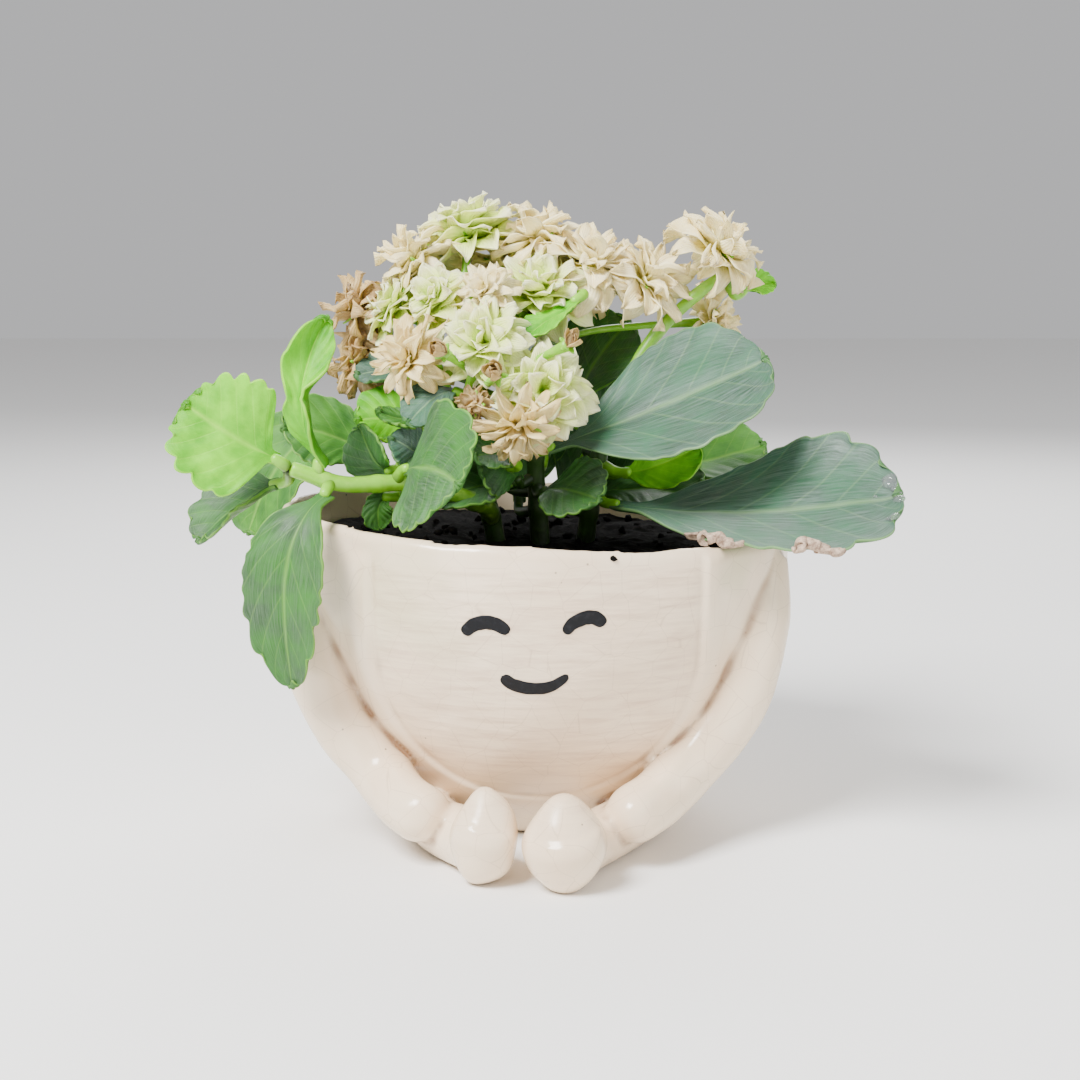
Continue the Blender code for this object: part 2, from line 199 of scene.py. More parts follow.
def add_tube(
    bm: bmesh.types.BMesh, path: Sequence[Vector], radii: Sequence[float], sides: int
) -> list[bmesh.types.BMVert]:
    """Adds a closed tube to a mesh.

    Args:
        bm: The mesh.
        path: The tube's centre line.
        radii: Its radius at each point of the path.
        sides: How many sides it has.

    Returns:
        The tube's vertices, with the share of the length in the layer "along".
    """
    layer = bm.verts.layers.float.get("along") or bm.verts.layers.float.new("along")
    rings = []
    made = []
    last = len(path) - 1
    for i, (point, radius) in enumerate(zip(path, radii)):
        onward = path[min(i + 1, last)] - path[max(i - 1, 0)]
        turn = onward.to_track_quat("Z", "Y").to_matrix().to_4x4()
        ring = bmesh.ops.create_circle(
            bm,
            cap_ends=i in (0, last),
            segments=sides,
            radius=radius,
            matrix=Matrix.Translation(point) @ turn,
        )["verts"]
        for vert in ring:
            vert[layer] = i / last
        own = set(ring)
        rings.append(list({e for v in ring for e in v.link_edges if e.other_vert(v) in own}))
        made.extend(ring)
    for ring, following in zip(rings, rings[1:]):
        bmesh.ops.bridge_loops(bm, edges=ring + following)
    return made


def add_sheet(
    bm: bmesh.types.BMesh,
    rows: int,
    columns: int,
    place: Place,
    thickness: Callable[[float, float], float],
) -> None:
    """Adds a closed thin sheet, such as a leaf or a petal, to a mesh.

    The layers "along" (0 to 1), "across" (-1 to 1) and "under" (0 on the upper side, 1 on the
    lower one) tell a material where on the sheet it is.

    Args:
        bm: The mesh.
        rows: Steps along the sheet.
        columns: Steps across it.
        place: Gives the point of the upper side at a share along and across.
        thickness: Gives the thickness there.
    """
    along, across, under = (
        bm.verts.layers.float.get(name) or bm.verts.layers.float.new(name)
        for name in ("along", "across", "under")
    )
    upper = bmesh.ops.create_grid(bm, x_segments=rows, y_segments=columns, size=1.0)["verts"]
    for vert in upper:
        vert[along] = (vert.co.x + 1) / 2
        vert[across] = vert.co.y
        vert.co = place(vert[along], vert[across])
    faces = list({face for vert in upper for face in vert.link_faces})
    edges = list({edge for vert in upper for edge in vert.link_edges})
    for face in faces:
        face.normal_update()
    for vert in upper:
        vert.normal_update()
    outline = [edge for edge in edges if edge.is_boundary]
    copied = bmesh.ops.duplicate(bm, geom=upper + edges + faces)
    lower = [item for item in copied["geom"] if isinstance(item, bmesh.types.BMVert)]
    lower_outline = [
        item for item in copied["geom"] if isinstance(item, bmesh.types.BMEdge) and item.is_boundary
    ]
    bmesh.ops.reverse_faces(
        bm, faces=[item for item in copied["geom"] if isinstance(item, bmesh.types.BMFace)]
    )
    bmesh.ops.bridge_loops(bm, edges=outline + lower_outline)
    for original, copy in zip(upper, (copied["vert_map"][vert] for vert in upper)):
        copy[under] = 1.0
        copy.co = original.co - original.normal * thickness(original[along], original[across])
    bmesh.ops.remove_doubles(bm, verts=upper + lower, dist=0.004)


def add_lump(bm: bmesh.types.BMesh, centre: Vector, size: float, rng: random.Random) -> None:
    """Adds a crumb of soil: a small ball pushed out of shape.

    Args:
        bm: The mesh.
        centre: Where it lies.
        size: About half its width.
        rng: Where its shape comes from.
    """
    turn = Matrix.Rotation(rng.uniform(0, math.tau), 4, Vector((rng.random(), rng.random(), 1)))
    made = bmesh.ops.create_icosphere(bm, subdivisions=1, radius=size)["verts"]
    for vert in made:
        vert.co *= rng.uniform(0.65, 1.25)
        vert.co.z *= 0.75
        vert.co = turn @ vert.co + centre


def finish_piece(
    name: str,
    bm: bmesh.types.BMesh,
    finish: "Finish",
    replaced: Sequence[str] = (),
    smoothing: int = 0,
) -> bpy.types.Object:
    """Turns a mesh in millimetres into a finished piece that rides on the plant's one body.

    Args:
        name: The piece's name.
        bm: Its mesh, which is freed.
        finish: What its surface is made of.
        replaced: The CAD nodes that it stands for.
        smoothing: Levels of subdivision that round it off.

    Returns:
        The piece.
    """
    bmesh.ops.scale(bm, vec=Vector((MM, MM, MM)), verts=bm.verts)
    bmesh.ops.recalc_face_normals(bm, faces=bm.faces)
    mesh = bpy.data.meshes.new(name)
    bm.to_mesh(mesh)
    bm.free()
    mesh.shade_smooth()
    mesh.materials.append(finish.material())
    piece = bpy.data.objects.new(name, mesh)
    bpy.context.scene.collection.objects.link(piece)
    if smoothing:
        modifier = piece.modifiers.new("smoothing", "SUBSURF")
        modifier.levels = smoothing
        modifier.render_levels = smoothing
    if replaced:
        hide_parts(*replaced)
    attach(piece, "root")
    LOG.info("%s: %d faces, %s", name, len(mesh.polygons), finish.name)
    return piece


# --- Finishes --------------------------------------------------------------------------------


@dataclass(frozen=True)
class Finish:
    """What a surface is made of.

    Attributes:
        name: The material's name.
    """

    name: str

    def material(self) -> bpy.types.Material:
        """The material, made the first time that it is asked for."""
        made = bpy.data.materials.get(self.name)
        if made is None:
            made = bpy.data.materials.new(self.name)
            made.use_nodes = True
            self.dress(made.node_tree, made.node_tree.nodes["Principled BSDF"])
        return made

    def dress(self, tree: bpy.types.NodeTree, shader: bpy.types.Node) -> None:
        """Adds the finish's own nodes.

        Args:
            tree: The material's node tree.
            shader: Its Principled BSDF.
        """
        raise NotImplementedError


@dataclass(frozen=True)
class GlazedStoneware(Finish):
    """Hand-built stoneware under a cream glaze, brushed thin and matte over the belly panel.

    The glaze is glossy and faintly crazed where it is thick, and has small dark pits; the creases
    get a painted brown shade. The brush leaves level streaks on the panel.
    """

    name: str = "cream glazed stoneware"
    light: str = "FAE8CC"
    shade: str = "E5C8A6"
    streak: str = "CFB298"
    # painted shade: the brown laid into the creases, where shade falls; the crazing cracks are drawn
    # in it too
    crease_shade: str = "855A33"
    pit: str = "5A4636"
    algae: str = "B9BE8C"
    cloud_mm: float = 22.0
    pit_mm: float = 5.0
    crazing_mm: float = 8.0
    streak_mm: Triple = (14.0, 14.0, 1.3)

    def dress(self, tree: bpy.types.NodeTree, shader: bpy.types.Node) -> None:
        """Adds glaze clouds, streaks, painted shade in the creases, crazing and pits."""
        place = add_node(tree, "ShaderNodeTexCoord")
        panel = add_node(tree, "ShaderNodeAttribute", {"attribute_name": "panel"})
        crease_shade = add_node(tree, "ShaderNodeAttribute", {"attribute_name": "crease_shade"})
        stain = add_node(tree, "ShaderNodeAttribute", {"attribute_name": "stain"})
        cloud = add_node(
            tree,
            "ShaderNodeTexNoise",
            values={"Scale": per_mm(self.cloud_mm), "Detail": 4.0, "Roughness": 0.55},
            links={"Vector": (place, "Object")},
        )
        body = add_node(
            tree,
            "ShaderNodeMix",
            {"data_type": "RGBA"},
            {6: linear(self.light), 7: linear(self.shade)},
            {0: (cloud, 0)},
        )
        stretched = add_node(
            tree,
            "ShaderNodeMapping",
            values={
                "Scale": tuple(per_mm(size) for size in self.streak_mm),
                "Rotation": (0.0, math.radians(4), 0.0),
            },
            links={"Vector": (place, "Object")},
        )
        streaks = add_node(
            tree,
            "ShaderNodeTexNoise",
            values={"Scale": 1.0, "Detail": 5.0, "Roughness": 0.65},
            links={"Vector": (stretched, 0)},
        )
        strong_streaks = add_node(
            tree,
            "ShaderNodeMapRange",
            values={"From Min": 0.42, "From Max": 0.72, "To Min": 0.0, "To Max": 0.75},
            links={"Value": (streaks, 0)},
        )
        on_panel = add_node(
            tree,
            "ShaderNodeMath",
            {"operation": "MULTIPLY"},
            links={0: (strong_streaks, 0), 1: (panel, "Fac")},
        )
        brushed = add_node(
            tree,
            "ShaderNodeMix",
            {"data_type": "RGBA"},
            {7: linear(self.streak)},
            {0: (on_panel, 0), 6: (body, 2)},
        )
        stained = add_node(
            tree,
            "ShaderNodeMix",
            {"data_type": "RGBA"},
            {7: linear(self.algae)},
            {0: (stain, "Fac"), 6: (brushed, 2)},
        )
        # painted shade: the creases are darkened brown
        crease_shaded = add_node(
            tree,
            "ShaderNodeMix",
            {"data_type": "RGBA"},
            {7: linear(self.crease_shade)},
            {0: (crease_shade, "Fac"), 6: (stained, 2)},
        )
        cracks = add_node(
            tree,
            "ShaderNodeTexVoronoi",
            {"feature": "DISTANCE_TO_EDGE"},
            {"Scale": per_mm(self.crazing_mm), "Randomness": 1.0},
            {"Vector": (place, "Object")},
        )
        fine_cracks = add_node(
            tree,
            "ShaderNodeMapRange",
            values={"From Min": 0.0, "From Max": 0.014, "To Min": 0.22, "To Max": 0.0},
            links={"Value": (cracks, "Distance")},
        )
        crazed = add_node(
            tree,
            "ShaderNodeMix",
            {"data_type": "RGBA"},
            {7: linear(self.crease_shade)},
            {0: (fine_cracks, 0), 6: (crease_shaded, 2)},
        )
        pits = add_node(
            tree,
            "ShaderNodeTexVoronoi",
            {"feature": "F1"},
            {"Scale": per_mm(self.pit_mm), "Randomness": 1.0},
            {"Vector": (place, "Object")},
        )
        pit_spots = add_node(
            tree,
            "ShaderNodeMapRange",
            values={"From Min": 0.035, "From Max": 0.06, "To Min": 1.0, "To Max": 0.0},
            links={"Value": (pits, "Distance")},
        )
        few = add_node(
            tree,
            "ShaderNodeMapRange",
            values={"From Min": 0.5, "From Max": 0.62, "To Min": 0.0, "To Max": 0.7},
            links={"Value": (cloud, 0)},
        )
        few_pits = add_node(
            tree,
            "ShaderNodeMath",
            {"operation": "MULTIPLY"},
            links={0: (pit_spots, 0), 1: (few, 0)},
        )
        add_node(
            tree,
            "ShaderNodeMix",
            {"data_type": "RGBA"},
            {7: linear(self.pit)},
            {0: (few_pits, 0), 6: (crazed, 2)},
        )
        tree.links.new(tree.nodes[-1].outputs[2], shader.inputs["Base Color"])
        gloss = add_node(
            tree,
            "ShaderNodeMapRange",
            values={"From Min": 0.0, "From Max": 1.0, "To Min": 0.2, "To Max": 0.52},
            links={"Value": (panel, "Fac")},
        )
        tree.links.new(gloss.outputs[0], shader.inputs["Roughness"])
        relief = add_node(
            tree,
            "ShaderNodeMath",
            {"operation": "MULTIPLY_ADD"},
            {2: 0.0},
            {0: (streaks, 0), 1: (panel, "Fac")},
        )
        ripple = add_node(
            tree,
            "ShaderNodeMath",
            {"operation": "MULTIPLY_ADD"},
            {1: 0.55},
            {0: (cloud, 0), 2: (relief, 0)},
        )
        sunk = add_node(
            tree,
            "ShaderNodeMath",
            {"operation": "MULTIPLY_ADD"},
            {1: -0.8},
            {0: (few_pits, 0), 2: (ripple, 0)},
        )
        bump = add_node(
            tree,
            "ShaderNodeBump",
            values={"Strength": 0.5, "Distance": 0.35 * MM},
            links={"Height": (sunk, 0)},
        )
        tree.links.new(bump.outputs[0], shader.inputs["Normal"])
        shader.inputs["IOR"].default_value = 1.5


@dataclass(frozen=True)
class LeafSkin(Finish):
    """A living succulent leaf, grown: waxy green skin with a silvery look from painted sheen.

    The painted sheen, grey-silver light off the waxy bloom, lies in fine speckles and streaks; the
    midrib and side veins show a little paler, the margin is a thin light line, and the lower side is
    duller.
    """

    name: str = "kalanchoe leaf"
    deep: str = "0F360A"
    fresh: str = "2E6A1B"
    # painted sheen: the grey-silver light off the waxy skin, laid into the colour
    bloom: str = "93B08E"
    rim: str = "78AC3C"
    below: str = "3F6B2C"
    painted_sheen_share: float = 0.22
    glow: float = 0.1
    patch_mm: float = 9.0
    streaks: tuple[float, float] = (7.0, 34.0)

    def dress(self, tree: bpy.types.NodeTree, shader: bpy.types.Node) -> None:
        """Adds patches, painted sheen, veins, the light margin and the skin's fine relief."""
        place = add_node(tree, "ShaderNodeTexCoord")
        along = add_node(tree, "ShaderNodeAttribute", {"attribute_name": "along"})
        across = add_node(tree, "ShaderNodeAttribute", {"attribute_name": "across"})
        under = add_node(tree, "ShaderNodeAttribute", {"attribute_name": "under"})
        patches = add_node(
            tree,
            "ShaderNodeTexNoise",
            values={"Scale": per_mm(self.patch_mm), "Detail": 4.0, "Roughness": 0.6},
            links={"Vector": (place, "Object")},
        )
        spread = add_node(
            tree,
            "ShaderNodeCombineXYZ",
            links={"X": (along, "Fac"), "Y": (across, "Fac"), "Z": (under, "Fac")},
        )
        stretched = add_node(
            tree,
            "ShaderNodeMapping",
            values={"Scale": (*self.streaks, 1.0)},
            links={"Vector": (spread, 0)},
        )
        speckles = add_node(
            tree,
            "ShaderNodeTexNoise",
            values={"Scale": 1.0, "Detail": 5.0, "Roughness": 0.75},
            links={"Vector": (stretched, 0)},
        )
        patch_share = add_node(
            tree,
            "ShaderNodeMapRange",
            values={"From Min": 0.35, "From Max": 0.65},
            links={"Value": (patches, 0)},
        )
        flesh = add_node(
            tree,
            "ShaderNodeMix",
            {"data_type": "RGBA"},
            {6: linear(self.deep), 7: linear(self.fresh)},
            {0: (patch_share, 0)},
        )
        side = add_node(
            tree, "ShaderNodeMath", {"operation": "ABSOLUTE"}, links={0: (across, "Fac")}
        )
        slant = add_node(
            tree,
            "ShaderNodeMath",
            {"operation": "MULTIPLY_ADD"},
            {1: -0.3},
            {0: (side, 0), 2: (along, "Fac")},
        )
        wave = add_node(
            tree, "ShaderNodeMath", {"operation": "MULTIPLY"}, {1: 7 * math.tau}, {0: (slant, 0)}
        )
        ribs = add_node(tree, "ShaderNodeMath", {"operation": "COSINE"}, links={0: (wave, 0)})
        veins = add_node(
            tree,
            "ShaderNodeMapRange",
            values={"From Min": 0.93, "From Max": 1.0, "To Min": 0.0, "To Max": 0.16},
            links={"Value": (ribs, 0)},
        )
        midrib = add_node(
            tree,
            "ShaderNodeMapRange",
            values={"From Min": 0.0, "From Max": 0.07, "To Min": 0.45, "To Max": 0.0},
            links={"Value": (side, 0)},
        )
        paler = add_node(
            tree, "ShaderNodeMath", {"operation": "MAXIMUM"}, links={0: (veins, 0), 1: (midrib, 0)}
        )
        veined = add_node(
            tree,
            "ShaderNodeMix",
            {"data_type": "RGBA"},
            {7: linear(self.rim)},
            {0: (paler, 0), 6: (flesh, 2)},
        )
        # painted sheen: grey-silver speckles and streaks of light on the waxy skin, fewer on the paler
        # patches
        sheen_speckles = add_node(
            tree,
            "ShaderNodeMapRange",
            values={
                "From Min": 0.38,
                "From Max": 0.68,
                "To Min": self.painted_sheen_share * 0.25,
                "To Max": self.painted_sheen_share * 1.25,
            },
            links={"Value": (speckles, 0)},
        )
        cover = add_node(
            tree,
            "ShaderNodeMapRange",
            values={"From Min": 0.3, "From Max": 0.7, "To Min": 1.25, "To Max": 0.45},
            links={"Value": (patches, 0)},
        )
        sheen_amount = add_node(
            tree, "ShaderNodeMath", {"operation": "MULTIPLY"}, links={0: (sheen_speckles, 0), 1: (cover, 0)}
        )
        sheened = add_node(
            tree,
            "ShaderNodeMix",
            {"data_type": "RGBA"},
            {7: linear(self.bloom)},
            {0: (sheen_amount, 0), 6: (veined, 2)},
        )
        duller = add_node(
            tree, "ShaderNodeMath", {"operation": "MULTIPLY"}, {1: 0.7}, {0: (under, "Fac")}
        )
        lower = add_node(
            tree,
            "ShaderNodeMix",
            {"data_type": "RGBA"},
            {7: linear(self.below)},
            {0: (duller, 0), 6: (sheened, 2)},
        )
        margin = add_node(
            tree,
            "ShaderNodeMapRange",
            values={"From Min": 0.965, "From Max": 0.995, "To Min": 0.0, "To Max": 0.5},
            links={"Value": (side, 0)},
        )
        edged = add_node(
            tree,
            "ShaderNodeMix",
            {"data_type": "RGBA"},
            {7: linear(self.rim)},
            {0: (margin, 0), 6: (lower, 2)},
        )
        tree.links.new(edged.outputs[2], shader.inputs["Base Color"])
        gloss = add_node(
            tree,
            "ShaderNodeMapRange",
            values={"From Min": 0.3, "From Max": 0.7, "To Min": 0.34, "To Max": 0.5},
            links={"Value": (patches, 0)},
        )
        tree.links.new(gloss.outputs[0], shader.inputs["Roughness"])
        relief = add_node(
            tree,
            "ShaderNodeMath",
            {"operation": "MULTIPLY_ADD"},
            {1: 2.0},
            {0: (paler, 0), 2: (speckles, 0)},
        )
        bump = add_node(
            tree,
            "ShaderNodeBump",
            {"invert": True},
            {"Strength": 0.45, "Distance": 0.22 * MM},
            {"Height": (relief, 0)},
        )
        tree.links.new(bump.outputs[0], shader.inputs["Normal"])
        shader.inputs["Subsurface Weight"].default_value = self.glow
        shader.inputs["Subsurface Radius"].default_value = (0.4, 1.0, 0.15)
        shader.inputs["Subsurface Scale"].default_value = 2.0 * MM
        shader.inputs["Specular IOR Level"].default_value = 0.28
        shader.inputs["IOR"].default_value = 1.42


@dataclass(frozen=True)
class PetalTissue(Finish):
    """A petal, grown and then fading: thin, soft and ribbed lengthwise.

    Light passes a little way through it, its base keeps some green, and its tip dries first.
    """

    name: str = "kalanchoe petal"
    base: str = "A2CC2E"
    middle: str = "DFF17E"
    tip: str = "FCF9BE"
    fleck: str = "C9B184"
    fleck_share: float = 0.1
    rib_count: float = 9.0
    patch_mm: float = 4.0

    def dress(self, tree: bpy.types.NodeTree, shader: bpy.types.Node) -> None:
        """Adds the change of colour along the petal, dry flecks and ribs."""
        place = add_node(tree, "ShaderNodeTexCoord")
        along = add_node(tree, "ShaderNodeAttribute", {"attribute_name": "along"})
        across = add_node(tree, "ShaderNodeAttribute", {"attribute_name": "across"})
        patches = add_node(
            tree,
            "ShaderNodeTexNoise",
            values={"Scale": per_mm(self.patch_mm), "Detail": 3.0, "Roughness": 0.6},
            links={"Vector": (place, "Object")},
        )
        rise = add_node(
            tree,
            "ShaderNodeMapRange",
            values={"From Min": 0.05, "From Max": 0.55},
            links={"Value": (along, "Fac")},
        )
        lower = add_node(
            tree,
            "ShaderNodeMix",
            {"data_type": "RGBA"},
            {6: linear(self.base), 7: linear(self.middle)},
            {0: (rise, 0)},
        )
        dry = add_node(
            tree,
            "ShaderNodeMapRange",
            values={"From Min": 0.6, "From Max": 1.0},
            links={"Value": (along, "Fac")},
        )
        whole = add_node(
            tree,
            "ShaderNodeMix",
            {"data_type": "RGBA"},
            {7: linear(self.tip)},
            {0: (dry, 0), 6: (lower, 2)},
        )
        flecks = add_node(
            tree,
            "ShaderNodeMapRange",
            values={
                "From Min": 0.5,
                "From Max": 0.75,
                "To Min": 0.0,
                "To Max": min(1.0, self.fleck_share * 2.5),
            },
            links={"Value": (patches, 0)},
        )
        flecked = add_node(
            tree,
            "ShaderNodeMix",
            {"data_type": "RGBA"},
            {7: linear(self.fleck)},
            {0: (flecks, 0), 6: (whole, 2)},
        )
        tree.links.new(flecked.outputs[2], shader.inputs["Base Color"])
        phase = add_node(
            tree,
            "ShaderNodeMath",
            {"operation": "MULTIPLY"},
            {1: self.rib_count * math.pi},
            {0: (across, "Fac")},
        )
        ribs = add_node(tree, "ShaderNodeMath", {"operation": "COSINE"}, links={0: (phase, 0)})
        relief = add_node(
            tree,
            "ShaderNodeMath",
            {"operation": "MULTIPLY_ADD"},
            {1: 0.35},
            {0: (ribs, 0), 2: (patches, 0)},
        )
        bump = add_node(
            tree,
            "ShaderNodeBump",
            values={"Strength": 0.5, "Distance": 0.25 * MM},
            links={"Height": (relief, 0)},
        )
        tree.links.new(bump.outputs[0], shader.inputs["Normal"])
        shader.inputs["Roughness"].default_value = 0.6
        shader.inputs["Subsurface Weight"].default_value = 0.35
        shader.inputs["Subsurface Radius"].default_value = (1.0, 0.9, 0.5)
        shader.inputs["Subsurface Scale"].default_value = 1.5 * MM
        shader.inputs["IOR"].default_value = 1.4


@dataclass(frozen=True)
class StemSkin(Finish):
    """A green succulent stem, grown: smooth skin, a little paler in streaks, with painted shade
    darkening it at the foot.
    """

    name: str = "kalanchoe stem"
    young: str = "7DBE22"
    # painted shade: the near-black green at the stem's foot, which stands in the shade of the leaves
    shaded_foot: str = "1C2A10"
    streak: str = "A8D455"
    streak_mm: float = 2.5

    def dress(self, tree: bpy.types.NodeTree, shader: bpy.types.Node) -> None:
        """Adds painted shade at the foot that gives way to the lit green higher up, pale streaks and a
        fine relief.
        """
        place = add_node(tree, "ShaderNodeTexCoord")
        along = add_node(tree, "ShaderNodeAttribute", {"attribute_name": "along"})
        # painted shade: dark at the foot, lifting over the lower half of the stem
        out_of_shade = add_node(
            tree,
            "ShaderNodeMapRange",
            values={"From Min": 0.0, "From Max": 0.55},
            links={"Value": (along, "Fac")},
        )
        skin = add_node(
            tree,
            "ShaderNodeMix",
            {"data_type": "RGBA"},
            {6: linear(self.shaded_foot), 7: linear(self.young)},
            {0: (out_of_shade, 0)},
        )
        cloud = add_node(
            tree,
            "ShaderNodeTexNoise",
            values={"Scale": per_mm(self.streak_mm), "Detail": 3.0},
            links={"Vector": (place, "Object")},
        )
        pale = add_node(
            tree,
            "ShaderNodeMapRange",
            values={"From Min": 0.5, "From Max": 0.75, "To Min": 0.0, "To Max": 0.45},
            links={"Value": (cloud, 0)},
        )
        streaked = add_node(
            tree,
            "ShaderNodeMix",
            {"data_type": "RGBA"},
            {7: linear(self.streak)},
            {0: (pale, 0), 6: (skin, 2)},
        )
        tree.links.new(streaked.outputs[2], shader.inputs["Base Color"])
        bump = add_node(
            tree,
            "ShaderNodeBump",
            values={"Strength": 0.4, "Distance": 0.25 * MM},
            links={"Height": (cloud, 0)},
        )
        tree.links.new(bump.outputs[0], shader.inputs["Normal"])
        shader.inputs["Roughness"].default_value = 0.38
        shader.inputs["Subsurface Weight"].default_value = 0.15
        shader.inputs["Subsurface Radius"].default_value = (0.5, 1.0, 0.2)
        shader.inputs["Subsurface Scale"].default_value = 2.0 * MM


@dataclass(frozen=True)
class PottingMix(Finish):
    """Moist peat-based potting mix, sieved: near black, crumbly and dull, with a few fibres."""

    name: str = "moist potting mix"
    dark: str = "090807"
    light: str = "261E17"
    crumb_mm: float = 1.6

    def dress(self, tree: bpy.types.NodeTree, shader: bpy.types.Node) -> None:
        """Adds crumbs in two browns with a strong relief."""
        place = add_node(tree, "ShaderNodeTexCoord")
        crumbs = add_node(
            tree,
            "ShaderNodeTexNoise",
            values={"Scale": per_mm(self.crumb_mm), "Detail": 6.0, "Roughness": 0.75},
            links={"Vector": (place, "Object")},
        )
        share = add_node(
            tree,
            "ShaderNodeMapRange",
            values={"From Min": 0.5, "From Max": 0.8},
            links={"Value": (crumbs, 0)},
        )
        colour = add_node(
            tree,
            "ShaderNodeMix",
            {"data_type": "RGBA"},
            {6: linear(self.dark), 7: linear(self.light)},
            {0: (share, 0)},
        )
        tree.links.new(colour.outputs[2], shader.inputs["Base Color"])
        bump = add_node(
            tree,
            "ShaderNodeBump",
            values={"Strength": 1.0, "Distance": 0.8 * MM},
            links={"Height": (crumbs, 0)},
        )
        tree.links.new(bump.outputs[0], shader.inputs["Normal"])
        shader.inputs["Roughness"].default_value = 0.92
        shader.inputs["Specular IOR Level"].default_value = 0.1


@dataclass(frozen=True)
class BrushedPaint(Finish):
    """Charcoal underglaze, brushed on by hand: nearly matte, thinner where the brush ran dry."""

    name: str = "charcoal underglaze"
    thick: str = "0B0C10"
    thin: str = "1B1C22"
    streak_mm: float = 1.2

    def dress(self, tree: bpy.types.NodeTree, shader: bpy.types.Node) -> None:
        """Adds the thin places and a fine relief."""
        place = add_node(tree, "ShaderNodeTexCoord")
        streaks = add_node(
            tree,
            "ShaderNodeTexNoise",
            values={"Scale": per_mm(self.streak_mm), "Detail": 4.0},
            links={"Vector": (place, "Object")},
        )
        share = add_node(
            tree,
            "ShaderNodeMapRange",
            values={"From Min": 0.5, "From Max": 0.75},
            links={"Value": (streaks, 0)},
        )
        colour = add_node(
            tree,
            "ShaderNodeMix",
            {"data_type": "RGBA"},
            {6: linear(self.thick), 7: linear(self.thin)},
            {0: (share, 0)},
        )
        tree.links.new(colour.outputs[2], shader.inputs["Base Color"])
        bump = add_node(
            tree,
            "ShaderNodeBump",
            values={"Strength": 0.3, "Distance": 0.1 * MM},
            links={"Height": (streaks, 0)},
        )
        tree.links.new(bump.outputs[0], shader.inputs["Normal"])
        shader.inputs["Roughness"].default_value = 0.5
        shader.inputs["Specular IOR Level"].default_value = 0.2


@dataclass(frozen=True)
class DryTissue(Finish):
    """Leaf tissue that died at the margin and dried: pale brown, crumpled and dull."""

    name: str = "dried leaf margin"
    pale: str = "CDB49C"
    brown: str = "6E5544"
    patch_mm: float = 1.5

    def dress(self, tree: bpy.types.NodeTree, shader: bpy.types.Node) -> None:
        """Adds brown and pale patches with a rough relief."""
        place = add_node(tree, "ShaderNodeTexCoord")
        patches = add_node(
            tree,
            "ShaderNodeTexNoise",
            values={"Scale": per_mm(self.patch_mm), "Detail": 5.0, "Roughness": 0.7},
            links={"Vector": (place, "Object")},
        )
        share = add_node(
            tree,
            "ShaderNodeMapRange",
            values={"From Min": 0.35, "From Max": 0.65},
            links={"Value": (patches, 0)},
        )
        colour = add_node(
            tree,
            "ShaderNodeMix",
            {"data_type": "RGBA"},
            {6: linear(self.brown), 7: linear(self.pale)},
            {0: (share, 0)},
        )
        tree.links.new(colour.outputs[2], shader.inputs["Base Color"])
        bump = add_node(
            tree,
            "ShaderNodeBump",
            values={"Strength": 0.8, "Distance": 0.4 * MM},
            links={"Height": (patches, 0)},
        )
        tree.links.new(bump.outputs[0], shader.inputs["Normal"])
        shader.inputs["Roughness"].default_value = 0.85


@dataclass(frozen=True)
class Water(Finish):
    """Clear water, in drops: colourless, mirror smooth, and it bends the light."""

    name: str = "water drops"

    def dress(self, tree: bpy.types.NodeTree, shader: bpy.types.Node) -> None:
        """Makes the drops clear, with a film of unevenness too small to see as a pattern."""
        place = add_node(tree, "ShaderNodeTexCoord")
        ripple = add_node(
            tree,
            "ShaderNodeTexNoise",
            values={"Scale": per_mm(1.0), "Detail": 1.0},
            links={"Vector": (place, "Object")},
        )
        bump = add_node(
            tree,
            "ShaderNodeBump",
            values={"Strength": 0.1, "Distance": 0.05 * MM},
            links={"Height": (ripple, 0)},
        )
        tree.links.new(bump.outputs[0], shader.inputs["Normal"])
        shader.inputs["Base Color"].default_value = linear("F4FAFA")
        shader.inputs["Roughness"].default_value = 0.02
        shader.inputs["IOR"].default_value = 1.333
        shader.inputs["Transmission Weight"].default_value = 0.9


@dataclass(frozen=True)
class StudioPaper(Finish):
    """A pale paper sweep for the floor, matte and even."""

    name: str = "pale studio paper"
    colour: str = "F3F2F0"

    def dress(self, tree: bpy.types.NodeTree, shader: bpy.types.Node) -> None:
        """Sets the paper's colour and dullness."""
        shader.inputs["Base Color"].default_value = linear(self.colour)
        shader.inputs["Roughness"].default_value = 0.9


class LeafTint(Enum):
    """How green a leaf is, and how silvery its painted sheen makes it."""

    DARK = LeafSkin("dark kalanchoe leaf")
    SILVER = LeafSkin(
        "silvery kalanchoe leaf", "0D3219", "28593A", "A3BBB0", "7FA266", painted_sheen_share=0.24
    )
    BRIGHT = LeafSkin(
        "bright kalanchoe leaf",
        "459A05",
        "78CC10",
        "9CD24E",
        "A0DA3C",
        "2A6510",
        painted_sheen_share=0.05,
        glow=0.25,
    )
    MUTED = LeafSkin(
        "shaded kalanchoe leaf", "22590F", "4C8A28", "83A278", "84B545", painted_sheen_share=0.14
    )


class PetalTint(Enum):
    """How far the petals of a head have faded."""

    FRESH = PetalTissue("pale green kalanchoe petal", fleck_share=0.06)
    CREAM = PetalTissue(
        "cream kalanchoe petal", "CFC850", "FFF1BC", "F8DE9C", "CDA25A", fleck_share=0.14
    )
    TAN = PetalTissue(
        "fading kalanchoe petal", "C8B550", "F9E2A4", "E8C47C", "B08A4C", fleck_share=0.22
    )
    DRIED = PetalTissue(
        "dried kalanchoe petal", "8C7040", "CFB07C", "AA8856", "73552F", fleck_share=0.35
    )


# --- Pot -------------------------------------------------------------------------------------


